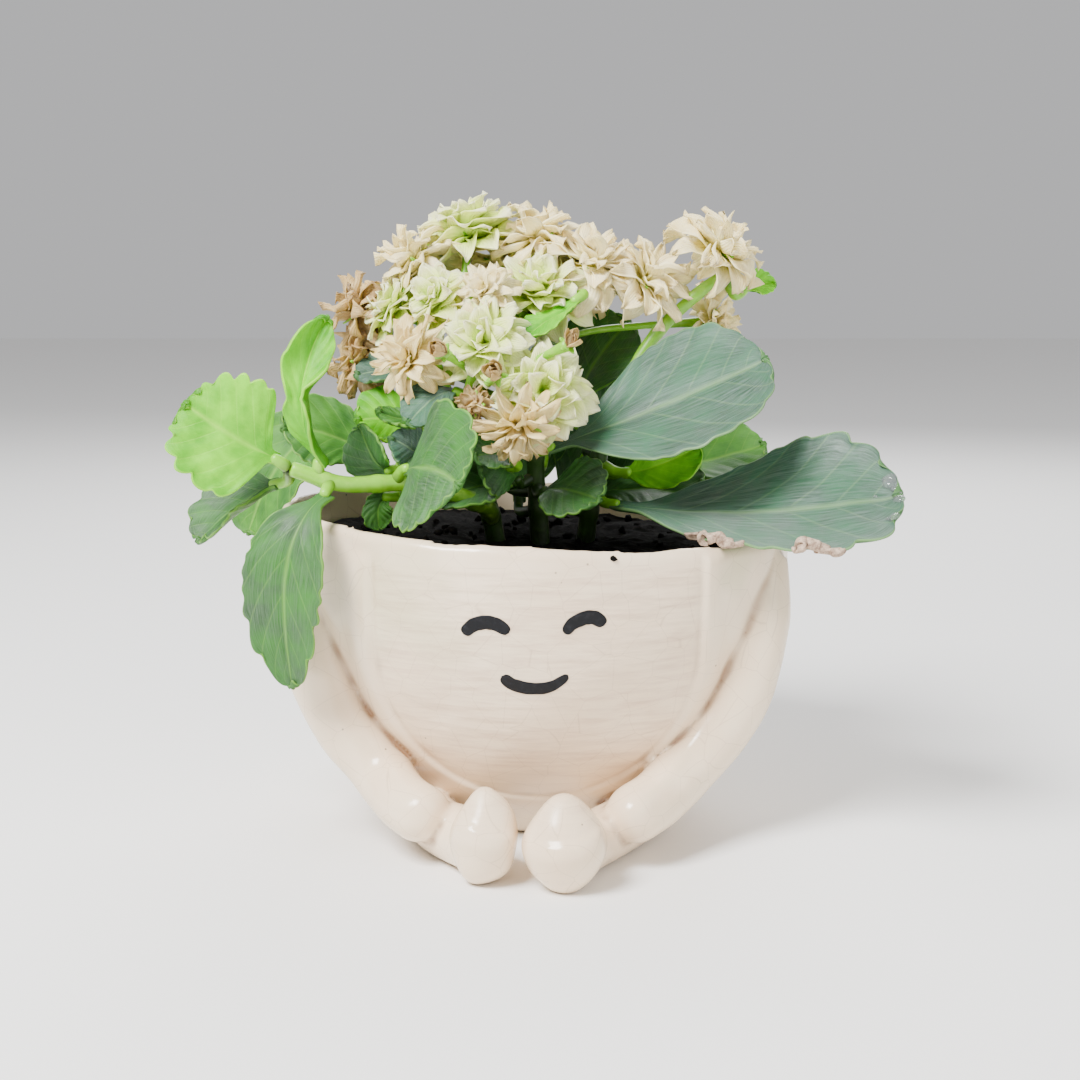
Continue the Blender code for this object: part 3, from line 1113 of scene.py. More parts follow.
@dataclass
class Limb:
    """An arm or a leg: a roll of clay through some joints.

    Attributes:
        joints: Points on its centre line, each with the roll's radius there.
    """

    joints: tuple[tuple[Triple, float], ...]

    def add(self, bm: bmesh.types.BMesh, lean: Callable[[Vector], Vector]) -> None:
        """Adds the roll to the pot's clay.

        Args:
            bm: The clay.
            lean: Gives a point its place on the leaning pot.
        """
        points = [Vector(place) for place, _ in self.joints]
        path = curve_through(points, 2.0)
        radii = [self.radius_at(place, points) for place in path]
        onward = (path[-1] - path[-2]).normalized()
        last, end = path[-1], radii[-1]
        for degrees in range(15, 90, 15):
            angle = math.radians(degrees)
            path.append(last + onward * end * math.sin(angle))
            radii.append(end * math.cos(angle))
        add_tube(bm, [lean(place) for place in path], radii, 28)

    def radius_at(self, place: Vector, points: Sequence[Vector]) -> float:
        """The roll's radius at a place on its path, between those of the joints next to it."""
        near = min(
            range(len(points) - 1),
            key=lambda i: (place - points[i]).length + (place - points[i + 1]).length,
        )
        before = (place - points[near]).length
        share = before / (before + (place - points[near + 1]).length)
        return self.joints[near][1] * (1 - share) + self.joints[near + 1][1] * share


@dataclass
class Foot:
    """A foot: an egg of clay on its heel, pressed into soft corners by the maker's fingers.

    Attributes:
        centre: Its middle.
        half_sizes: Half its width, depth and height.
        corners: How many soft corners it has, seen from the front.
        top: Where the first corner is, in degrees from +X.
        lean: How far it leans about Y, in degrees.
    """

    centre: Triple
    half_sizes: Triple
    corners: int
    top: float
    lean: float
    corner_height: float = 0.03

    def add(self, bm: bmesh.types.BMesh) -> None:
        """Adds the foot to the pot's clay."""
        made = bmesh.ops.create_uvsphere(bm, u_segments=48, v_segments=32, radius=1.0)["verts"]
        turn = Matrix.Rotation(math.radians(self.lean), 3, "Y")
        for vert in made:
            angle = math.atan2(vert.co.z, vert.co.x)
            reach = math.hypot(vert.co.x, vert.co.z)
            corner = math.cos(self.corners * (angle - math.radians(self.top)))
            corner = 1 + self.corner_height * corner * reach**2
            upper = max(0.0, vert.co.z)
            shaped = Vector(
                (
                    vert.co.x * corner * (1 - 0.14 * upper),
                    vert.co.y * (1 - 0.25 * upper),
                    vert.co.z * corner,
                )
            )
            vert.co = turn @ (shaped * Vector(self.half_sizes)) + Vector(self.centre)


@dataclass
class FigurePot:
    """The pot: a bowl whose arms, legs and feet were pressed on while the clay was soft.

    Attributes are in millimetres. The whole pot is fitted to its CAD node at the end.
    """

    rim_radius: float = 60.0
    rim_height: float = 76.0
    foot_radius: float = 25.0
    belly_power: float = 2.2
    oval: float = 1.05
    wall: float = 5.0
    floor: float = 7.0
    lip: float = 2.4
    lean_rise: float = 0.04
    voxel: float = 0.8
    soften: int = 4
    arms: tuple[Limb, ...] = (
        Limb(
            (
                ((53, -20, 69), 7.5),
                ((52, -26, 54), 8.2),
                ((49, -29, 41), 8.2),
                ((44, -31, 30), 7.6),
                ((36, -35, 20), 7.2),
                ((28.5, -42.5, 15), 6.7),
                ((22.8, -48, 12.9), 6.7),
            )
        ),
        Limb(
            (
                ((-54, -20, 68), 7.5),
                ((-53, -26, 54), 8.2),
                ((-50, -29, 41), 8.2),
                ((-45, -31, 29), 7.6),
                ((-37, -34, 19), 7.2),
                ((-31.5, -41.5, 14.2), 6.7),
                ((-26.4, -46.5, 12), 6.7),
            )
        ),
    )
    legs: tuple[Limb, ...] = (
        Limb(
            (
                ((26, -6, 6.0), 6.5),
                ((28, -18, 6.0), 6.5),
                ((25, -28.5, 6.2), 6.3),
                ((18, -41, 6.4), 6.4),
                ((9, -56, 7.5), 7.0),
            )
        ),
        Limb(
            (
                ((-27, -6, 6.0), 6.5),
                ((-29, -18, 6.0), 6.5),
                ((-26, -29.5, 6.2), 6.3),
                ((-21, -41, 6.4), 6.4),
                ((-12, -54, 7.5), 7.0),
            )
        ),
    )
    feet: tuple[Foot, ...] = (
        Foot((-11.2, -58.5, 11.0), (7.5, 7.6, 11.2), 5, 105.0, 5.0),
        Foot((6.4, -62.5, 10.4), (8.9, 8.2, 10.9), 4, 92.0, -2.0),
    )
    panel_half_width: float = 37.0
    panel_bend_height: float = 50.0
    panel_depth: float = 37.0
    panel_step: float = 1.0

    def leaned(self, point: Vector) -> Vector:
        """The point on the leaning pot: it rises towards -X in proportion to its height."""
        rise = 1.0 - self.lean_rise * point.x / self.rim_height
        return Vector((point.x, point.y, point.z * rise))

    def bowl_radius(self, height: float) -> float:
        """Outer radius of the bowl at a height above its foot."""
        share = 1.0 - (1.0 - height / self.rim_height) ** self.belly_power
        return self.foot_radius + (self.rim_radius - self.foot_radius) * share

    def profile(self) -> list[Vector]:
        """The bowl's half section in the XZ plane, from the foot's middle round the lip."""
        outside = [Vector((r, 0, 0)) for r in (0, self.foot_radius - 1.5)]
        count = 28
        top = self.rim_height - self.lip
        for i in range(count + 1):
            height = 1.2 + (top - 1.2) * (i / count) ** 1.2
            outside.append(Vector((self.bowl_radius(height), 0, height)))
        outer = outside[-1].x
        inner = self.bowl_radius(top) - self.wall
        middle = (outer + inner) / 2
        half = (outer - inner) / 2
        for degrees in range(15, 180, 15):
            angle = math.radians(degrees)
            outside.append(
                Vector((middle + half * math.cos(angle), 0, top + self.lip * math.sin(angle)))
            )
        inside = []
        for i in range(count + 1):
            height = self.floor + (top - self.floor) * (i / count)
            inside.append(Vector((self.bowl_radius(height) - self.wall, 0, height)))
        return outside + inside[::-1] + [Vector((0, 0, self.floor))]

    def clay(self) -> bmesh.types.BMesh:
        """The bowl and its limbs as closed shapes that pass through each other."""
        bm = bmesh.new()
        verts = [bm.verts.new(point) for point in self.profile()]
        edges = [bm.edges.new(pair) for pair in zip(verts, verts[1:])]
        bmesh.ops.spin(
            bm,
            geom=verts + edges,
            axis=(0, 0, 1),
            cent=(0, 0, 0),
            angle=math.tau,
            steps=160,
            use_merge=True,
        )
        bmesh.ops.remove_doubles(bm, verts=bm.verts, dist=0.001)
        bmesh.ops.recalc_face_normals(bm, faces=bm.faces)
        for vert in bm.verts:
            vert.co = self.leaned(Vector((vert.co.x * self.oval, vert.co.y, vert.co.z)))
        bowl = set(bm.verts)
        for limb in self.arms + self.legs:
            limb.add(bm, self.leaned)
        for vert in set(bm.verts) - bowl:
            self.keep_outside(vert)
        for foot in self.feet:
            foot.add(bm)
        return bm

    def keep_outside(self, vert: bmesh.types.BMVert) -> None:
        """Moves a limb's vertex out of the bowl's hollow, into the middle of its wall."""
        reach = math.hypot(vert.co.x / self.oval, vert.co.y)
        height = min(self.rim_height - 1, max(0.0, vert.co.z))
        least = self.bowl_radius(height) - self.wall * 0.5
        if vert.co.z > self.floor and 0 < reach < least:
            vert.co.x *= least / reach
            vert.co.y *= least / reach

    def fuse(self, bm: bmesh.types.BMesh) -> bpy.types.Mesh:
        """Joins the shapes into one skin and softens the joints between them.

        Args:
            bm: The shapes, which are freed.

        Returns:
            The skin, in millimetres.
        """
        rough = bpy.data.meshes.new("clay")
        bm.to_mesh(rough)
        bm.free()
        shaper = bpy.data.objects.new("clay", rough)
        bpy.context.scene.collection.objects.link(shaper)
        remesh = shaper.modifiers.new("fuse", "REMESH")
        remesh.mode = "VOXEL"
        remesh.voxel_size = self.voxel
        soften = shaper.modifiers.new("soften", "SMOOTH")
        soften.factor = 0.5
        soften.iterations = self.soften
        shaped = bpy.data.meshes.new_from_object(
            shaper.evaluated_get(bpy.context.evaluated_depsgraph_get())
        )
        bpy.data.objects.remove(shaper)
        return shaped

    def panel_share(self, point: Vector) -> float:
        """How far out a point on the front is: under 1 inside the belly panel, over 1 outside."""
        sideways = (point.x - 0.5) / self.panel_half_width
        below = max(0.0, self.panel_bend_height - point.z) / self.panel_depth
        return math.hypot(sideways, below)

    def hand_work(self, vert: bmesh.types.BMVert) -> None:
        """Moves one vertex as the maker's hands did.

        The rim waves, the whole wall is a little uneven, and the clay that was smeared over the
        bowl for the arms ends in a low step round the belly panel.

        Args:
            vert: A vertex of the fused pot.
        """
        turn = math.atan2(vert.co.y, vert.co.x)
        high = smooth_step(45, self.rim_height, vert.co.z)
        vert.co.z += high * (0.6 * math.sin(2 * turn + 0.6) + 0.35 * math.sin(5 * turn + 2.0))
        uneven = noise.noise(vert.co * 0.045) * 0.9 + noise.noise(vert.co * 0.13) * 0.3
        outward = Vector((vert.co.x, vert.co.y, 0)).normalized()
        vert.co += vert.normal * uneven * smooth_step(0.5, 5, vert.co.z)
        on_front = smooth_step(0.2, 0.5, -vert.normal.y) * smooth_step(0.2, 0.6, -outward.y)
        share = self.panel_share(vert.co)
        step = smooth_step(0.99, 1.03, share) * (1 - smooth_step(1.06, 1.22, share))
        vert.co += outward * self.panel_step * step * on_front * smooth_step(74, 70, vert.co.z)

    def build(self, finish: Finish) -> bpy.types.Object:
        """Makes the pot.

        Args:
            finish: Its glaze.

        Returns:
            The piece that stands for the CAD pot.
        """
        skin = self.fuse(self.clay())
        bm = bmesh.new()
        bm.from_mesh(skin)
        bpy.data.meshes.remove(skin)
        bm.normal_update()
        for vert in bm.verts:
            self.hand_work(vert)
            vert.co.z = max(0.0, vert.co.z)
        bm.normal_update()
        self.mark_surface(bm)
        low, high = box_of(bm.verts)
        node_low, node_high = box_mm("pot")
        move = (node_low + node_high) / 2 - (low + high) / 2
        move.z = node_low.z - low.z
        bmesh.ops.translate(bm, vec=move, verts=bm.verts)
        return finish_piece("ceramic_pot", bm, finish, ["pot"])

    def mark_surface(self, bm: bmesh.types.BMesh) -> None:
        """Writes where the belly panel and the stains are, and how much painted shade each crease
        gets, for the glaze to read.

        Args:
            bm: The fused pot.
        """
        panel, crease_shade, stain = (
            bm.verts.layers.float.new(name) for name in ("panel", "crease_shade", "stain")
        )
        hollow = {}
        for vert in bm.verts:
            around = [edge.other_vert(vert).co for edge in vert.link_edges]
            middle = sum(around, Vector()) / len(around)
            hollow[vert] = (middle - vert.co).dot(vert.normal) / self.voxel
        for _ in range(10):
            hollow = {
                vert: 0.4 * depth
                + 0.6 * sum(hollow[e.other_vert(vert)] for e in vert.link_edges) / len(vert.link_edges)
                for vert, depth in hollow.items()
            }
        for vert in bm.verts:
            front = smooth_step(0.1, 0.4, -vert.normal.y) * smooth_step(0, 12, -vert.co.y)
            share = self.panel_share(vert.co)
            low_down = smooth_step(14, 24, vert.co.z)
            vert[panel] = (1 - smooth_step(0.94, 1.02, share)) * front * low_down
            vert[panel] *= 1 - smooth_step(69, 72, vert.co.z)
            # painted shade: the hollows of the creases are darkened, more in some places than others
            shade_patchiness = 0.75 + 0.5 * noise.noise(vert.co * 0.2)
            vert[crease_shade] = min(0.9, max(0.0, hollow[vert] - 0.008) * 30 * shade_patchiness)
            moss = (vert.co - Vector((-30, -50, 64))).length + 8 * noise.noise(vert.co * 0.12)
            drip = (vert.co - Vector((47, -42, 70))).length + 6 * noise.noise(vert.co * 0.15)
            vert[stain] = 0.32 * (1 - smooth_step(4, 20, moss)) + 0.3 * (1 - smooth_step(2, 11, drip))


@dataclass
class BrushStroke:
    """One painted line of the face, fat in the middle and rounded at both ends.

    Attributes:
        name: The piece's name.
        points: Points along it, as sideways and height on the belly.
        widths: Its width at the start, in the middle and at the end.
    """

    name: str
    points: tuple[tuple[float, float], ...]
    widths: Triple
    film: float = 0.12

    def build(self, pot: bpy.types.Object, finish: Finish) -> bpy.types.Object:
        """Paints the stroke on the pot.

        Args:
            pot: The finished pot.
            finish: The paint.

        Returns:
            The stroke, a thin film that follows the clay.
        """
        clay = BVHTree.FromPolygons(
            [vert.co / MM for vert in pot.data.vertices],
            [face.vertices for face in pot.data.polygons],
        )
        path = curve_through([Vector((x, 0, z)) for x, z in self.points], 0.4)
        last = len(path) - 1

        def place(along: float, across: float) -> Vector:
            """Where a point of the stroke lies on the clay."""
            at = along * last
            i = min(last - 1, int(at))
            centre = path[i].lerp(path[i + 1], at - i)
            onward = (path[min(last, i + 2)] - path[max(0, i - 1)]).normalized()
            side = Vector((-onward.z, 0, onward.x))
            start, middle, end = self.widths
            full = start + (end - start) * along
            full += (middle - (start + end) / 2) * math.sin(math.pi * along)
            round_end = math.sqrt(max(0.0, 1 - (2 * along - 1) ** 10))
            ragged = 1 + 0.1 * noise.noise(Vector((along * 9, across * 2, full)))
            flat = centre + side * across * full / 2 * round_end * ragged
            hit = clay.ray_cast(Vector((flat.x, -200, flat.z)), Vector((0, 1, 0)))[0]
            return Vector((flat.x, hit.y - self.film, flat.z))

        bm = bmesh.new()
        add_sheet(bm, 48, 8, place, lambda along, across: self.film * 1.6)
        return finish_piece(self.name, bm, finish)


@dataclass
class PaintedFace:
    """The sleepy smile on the belly: two closed eyes and a mouth, plain and nobody's."""

    strokes: tuple[BrushStroke, ...] = (
        BrushStroke(
            "painted_left_eye",
            ((-15.6, 56.2), (-13.6, 58.3), (-10.6, 59.2), (-7.6, 58.4), (-5.6, 56.8)),
            (2.8, 3.2, 2.7),
        ),
        BrushStroke(
            "painted_right_eye",
            ((6.6, 56.6), (8.4, 58.9), (11.4, 60.2), (13.7, 59.8), (15.3, 58.2)),
            (2.3, 3.2, 2.8),
        ),
        BrushStroke(
            "painted_mouth",
            ((-7.3, 46.4), (-4.8, 44.4), (-1.0, 43.5), (3.0, 43.8), (5.8, 45.4), (7.4, 46.8)),
            (2.9, 2.9, 1.9),
        ),
    )

    def build(self, pot: bpy.types.Object, finish: Finish) -> None:
        """Paints every stroke."""
        for stroke in self.strokes:
            stroke.build(pot, finish)


# --- Soil ------------------------------------------------------------------------------------


@dataclass
class PottingSoil:
    """The potting mix: an uneven, crumbly top, with loose crumbs on it and along the rim."""

    roughness: float = 1.1
    crumbs: int = 170
    crumb_size: tuple[float, float] = (0.5, 1.5)
    rim_crumbs: int = 26
    seed: int = 5

    def build(self, pot: bpy.types.Object, finish: Finish) -> bpy.types.Object:
        """Makes the soil.

        Args:
            pot: The finished pot, on whose rim some crumbs lie.
            finish: The potting mix.

        Returns:
            The piece that stands for the CAD soil.
        """
        rng = random.Random(self.seed)
        bm = bmesh.new()
        bm.from_mesh(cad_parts["soil"].data)
        bmesh.ops.scale(bm, vec=Vector((1 / MM,) * 3), verts=bm.verts)
        bmesh.ops.remove_doubles(bm, verts=bm.verts, dist=0.001)
        top = [face for face in bm.faces if face.normal.z > 0.5]
        edges = list({edge for face in top for edge in face.edges})
        bmesh.ops.subdivide_edges(bm, edges=edges, cuts=5, use_grid_fill=True)
        low, high = box_of(bm.verts)
        for vert in bm.verts:
            if vert.co.z > high.z - 8:
                rough = noise.noise(vert.co * 0.35) + 0.6 * noise.noise(vert.co * 0.9)
                vert.co.z += self.roughness * rough
        reach = (high - low) / 2
        middle = (high + low) / 2
        for _ in range(self.crumbs):
            turn = rng.uniform(0, math.tau)
            share = math.sqrt(rng.random()) * 0.97
            spot = Vector((math.cos(turn) * reach.x * share, math.sin(turn) * reach.y * share, 0))
            level = high.z - 3.4 - 0.04 * spot.x
            size = rng.uniform(*self.crumb_size)
            add_lump(bm, Vector((middle.x + spot.x, middle.y + spot.y, level + size)), size, rng)
        self.dirty_rim(bm, pot, rng)
        return finish_piece("potting_soil", bm, finish, ["soil"])

    def dirty_rim(
        self, bm: bmesh.types.BMesh, pot: bpy.types.Object, rng: random.Random
    ) -> None:
        """Leaves crumbs on the rim where the pot was filled.

        Args:
            bm: The soil's mesh.
            pot: The finished pot.
            rng: Where the crumbs' places come from.
        """
        clay = BVHTree.FromPolygons(
            [vert.co / MM for vert in pot.data.vertices],
            [face.vertices for face in pot.data.polygons],
        )
        low, high = box_mm("pot")
        reach = Vector(((high.x - low.x) / 2 - 3.5, high.y - 3.5))
        for i in range(self.rim_crumbs):
            turn = rng.uniform(-math.pi, 0) if i % 2 else rng.uniform(-2.1, -1.0)
            inward = rng.uniform(0.94, 0.985)
            spot = Vector((math.cos(turn) * reach.x, math.sin(turn) * reach.y)) * inward
            hit = clay.ray_cast(Vector((spot.x, spot.y, 200)), Vector((0, 0, -1)))[0]
            if hit and hit.z > high.z - 12:
                size = rng.uniform(0.25, 0.7)
                add_lump(bm, hit + Vector((0, 0, size * 0.4)), size, rng)
        front = clay.ray_cast(Vector((17.2, -200, high.z - 5.2)), Vector((0, 1, 0)))[0]
        add_lump(bm, front + Vector((0, -0.1, 0)), 0.9, rng)


# --- Stems -----------------------------------------------------------------------------------


@dataclass
class Stem:
    """A stem or a flower stalk, with a slight ring at each old leaf joint.

    Attributes:
        name: The CAD node that it stands for.
        points: Points on its centre line, from its foot.
        radius: Its radius at the foot.
        end_radius: Its radius at the end.
        rooted: Whether it grows from the soil.
        origin: A place on another stem that it branches off from.
    """

    name: str
    points: tuple[Triple, ...]
    radius: float
    end_radius: float
    rooted: bool = False
    origin: Triple | None = None
    joint_mm: float = 13.0
    joint_swelling: float = 0.2
    path: list[Vector] = field(default_factory=list)

    def build(self, finish: Finish) -> bpy.types.Object:
        """Makes the stem and keeps its path, for the flowers to grow from.

        Args:
            finish: Its skin.

        Returns:
            The piece that stands for the CAD stem.
        """
        points = [Vector(place) for place in self.points]
        low, high = box_mm(self.name)
        plain = [Vector(map(min, zip(*points))), Vector(map(max, zip(*points)))]
        move = (low + high) / 2 - (plain[0] + plain[1]) / 2
        points = [place + move for place in points]
        if self.rooted:
            points[0].z = low.z
            points.insert(0, points[0] - Vector((0, 0, 5)))
        if self.origin:
            points.insert(0, Vector(self.origin))
        self.path = curve_through(points, 1.4)
        last = len(self.path) - 1
        radii = []
        for i in range(len(self.path)):
            joint = math.cos(math.tau * i * 1.4 / self.joint_mm)
            swelling = self.joint_swelling * max(0.0, joint) ** 6
            plain_radius = self.radius + (self.end_radius - self.radius) * i / last
            radii.append(plain_radius * (1 + swelling))
        bm = bmesh.new()
        add_tube(bm, self.path, radii, 16)
        return finish_piece(f"grown_{self.name}", bm, finish, [self.name], 1)


# --- Leaves ----------------------------------------------------------------------------------


@dataclass
class Leaf:
    """A succulent leaf with a scalloped margin.

    Attributes:
        name: The CAD node that it stands for.
        bend: The middle of its midrib, seen from its base.
        tip: Its tip, seen from its base.
        width: Its full width.
        faces: The way its upper side faces.
        tint: How green and silvery it is.
        widest: The share of its length where it is widest.
        cup: How far its edges rise, as a share of half its width.
        twist: How many degrees it turns about its midrib.
        teeth: How many scallops would go all the way round it.
        tooth: How deep they are.
        fold: How steeply its halves fold up along the midrib.
        wave: How far its margin waves up and down.
        blunt: How blunt its tip is; 2 is an ellipse.
        pinch: How far it narrows in the middle, as a share of its width.
        base: Where it starts, if no CAD node stands for it.
        root: Where it starts, once it is built.
    """

    name: str
    bend: Triple
    tip: Triple
    width: float
    faces: Triple
    tint: LeafTint = LeafTint.DARK
    widest: float = 0.66
    cup: float = 0.15
    twist: float = 0.0
    teeth: int = 18
    tooth: float = 1.5
    fold: float = 0.0
    wave: float = 0.8
    blunt: float = 2.3
    pinch: float = 0.0
    base: Triple | None = None
    root: Vector = field(default_factory=Vector)
    thickness: float = 1.7
    stalk_share: float = 0.12
    stalk_width: float = 3.0
    rows: int = 44
    columns: int = 26

    def length(self) -> float:
        """The length of the midrib."""
        return Vector(self.bend).length + (Vector(self.tip) - Vector(self.bend)).length

    def half_width(self, share: float) -> float:
        """Half the width at a share of the length."""
        full = self.width / 2
        stalk = min(self.stalk_width / 2, full * 0.3)
        if share <= self.stalk_share:
            return stalk
        if share < self.widest:
            rise = (share - self.stalk_share) / (self.widest - self.stalk_share)
            return stalk + (full - stalk) * math.sin(rise * math.pi / 2) ** 1.15
        fall = (share - self.widest) / (1 - self.widest)
        return full * max(0.0, 1 - fall**self.blunt) ** (1 / self.blunt)

    def outline(self, share: float, across: float) -> tuple[float, float]:
        """Where a point lies on the leaf while it is still flat.

        Args:
            share: How far along the leaf it is.
            across: How far across, from -1 to 1.

        Returns:
            How far along and how far sideways it is, with the scallops of the margin.
        """
        length = self.length()
        u = share * length
        waist = 1 - self.pinch * math.exp(-(((share - 0.55) / 0.11) ** 2))
        v = across * self.half_width(share) * waist
        centre = 0.55 * length
        angle = math.atan2(v, u - centre)
        irregular = noise.noise(Vector((angle * 1.7, self.width, length)))
        lobes = abs(math.sin(self.teeth * angle / 2 + 1.2 * irregular)) ** 0.5
        near_margin = abs(across) ** 7
        far_half = smooth_step(0.28, 0.5, share)
        push = self.tooth * (lobes - 0.85) * (1 + 0.6 * irregular) * near_margin * far_half
        return u + push * math.cos(angle), v + push * math.sin(angle)

    def place(self, along: float, across: float) -> Vector:
        """The point of the bent leaf's upper side at a share along and across."""
        share = math.sin(along * math.pi / 2) ** 0.92
        u, v = self.outline(share, across)
        t = u / self.length()
        tip = Vector(self.tip)
        handle = 2 * Vector(self.bend) - tip / 2
        centre = handle * 2 * t * (1 - t) + tip * t**2
        onward = (handle * (1 - t) + (tip - handle) * t).normalized()
        sideways = Vector(self.faces).cross(onward).normalized()
        turn = Matrix.Rotation(math.radians(self.twist) * (share - 0.5), 3, onward)
        sideways = turn @ sideways
        up = onward.cross(sideways)
        half = self.half_width(share)
        relief = self.wave * across**2 * math.sin(9 * share + 2.2 * across + self.width)
        relief -= 0.7 * math.exp(-((across / 0.13) ** 2))
        relief += 0.5 * noise.noise(Vector((u * 0.12, v * 0.12, self.width)))
        relief += 0.25 * math.cos(7 * math.tau * (share - 0.3 * abs(across))) * abs(across)
        open_share = min(1.0, 3 * half / self.width)
        rise = self.cup * half * across**2 + self.fold * abs(v)
        rise += relief * smooth_step(0.1, 0.3, share) * open_share
        return centre + sideways * v + up * rise

    def thick(self, along: float, across: float) -> float:
        """The leaf's thickness, which thins towards the margin and the tip."""
        return self.thickness * (1 - 0.55 * abs(across) ** 3) * (1 - 0.35 * along**3)

    def build(self) -> bpy.types.Object:
        """Makes the leaf that stands for the CAD leaf."""
        bm = bmesh.new()
        add_sheet(bm, self.rows, self.columns, self.place, self.thick)
        if self.base:
            self.root = Vector(self.base)
            bmesh.ops.translate(bm, vec=self.root, verts=bm.verts)
        else:
            size, before, after = fit(bm, self.name)
            self.root = after - before * size
        replaced = [] if self.base else [self.name]
        return finish_piece(f"grown_{self.name}", bm, self.tint.value, replaced, 1)

    def onward(self) -> Vector:
        """The way that the midrib leaves the base."""
        return (2 * Vector(self.bend) - Vector(self.tip) / 2).normalized()


@dataclass
class LeafStalks:
    """The short stalks that carry the leaves on the stems."""

    name: str
    radius: float = 1.7
    end_radius: float = 1.2

    def build(
        self, leaves: Sequence[Leaf], stems: Sequence[Stem], finish: Finish
    ) -> bpy.types.Object:
        """Makes a stalk from the nearest stem to each leaf's base.

        Args:
            leaves: The leaves, already built.
            stems: The stems, already built.
            finish: Their skin.

        Returns:
            One piece with all the stalks.
        """
        bm = bmesh.new()
        spots = [spot for stem in stems for spot in stem.path]
        for leaf in leaves:
            joint = min(spots, key=lambda spot: (spot - leaf.root).length)
            reach = (leaf.root - joint).length
            points = [joint, leaf.root + leaf.onward() * 2.5]
            if reach > 4:
                points.insert(1, leaf.root - leaf.onward() * min(3.0, reach * 0.3))
            path = curve_through(points, 1.5)
            last = len(path) - 1
            radii = [
                self.radius + (self.end_radius - self.radius) * i / last for i in range(last + 1)
            ]
            add_tube(bm, path, radii, 12)
        return finish_piece(self.name, bm, finish, smoothing=1)


# --- Flowers ---------------------------------------------------------------------------------


@dataclass(frozen=True)
class Bloom:
    """How the petals of one kind of flower head lie.

    Lengths and widths are in head radii, and angles in degrees from the head's axis.

    Attributes:
        tint: The petals' tissue.
        petals: How many petals a head has.
        length: A petal's length.
        width: Its width.
        inner: The angle of the innermost petal.
        outer: The angle of the outermost one.
        curl: How many degrees a petal bends outwards on its way to the tip.
        crumple: How far its surface wanders.
        twist: How many degrees a petal may turn about itself.
    """

    tint: PetalTint
    petals: int
    length: float
    width: float
    inner: float
    outer: float
    curl: float
    crumple: float
    twist: float


class HeadKind(Enum):
    """The stages that the plant's flower heads are in."""

    FRESH = Bloom(PetalTint.FRESH, 38, 1.1, 0.78, 6, 105, 28, 0.16, 22)
    CREAM = Bloom(PetalTint.CREAM, 36, 1.15, 0.66, 6, 115, 40, 0.22, 35)
    TAN = Bloom(PetalTint.TAN, 40, 1.2, 0.5, 8, 115, 32, 0.2, 40)
    DRIED = Bloom(PetalTint.DRIED, 34, 1.1, 0.75, 12, 150, 45, 0.34, 50)
    BUD = Bloom(PetalTint.DRIED, 12, 1.9, 0.95, 10, 34, -48, 0.06, 10)


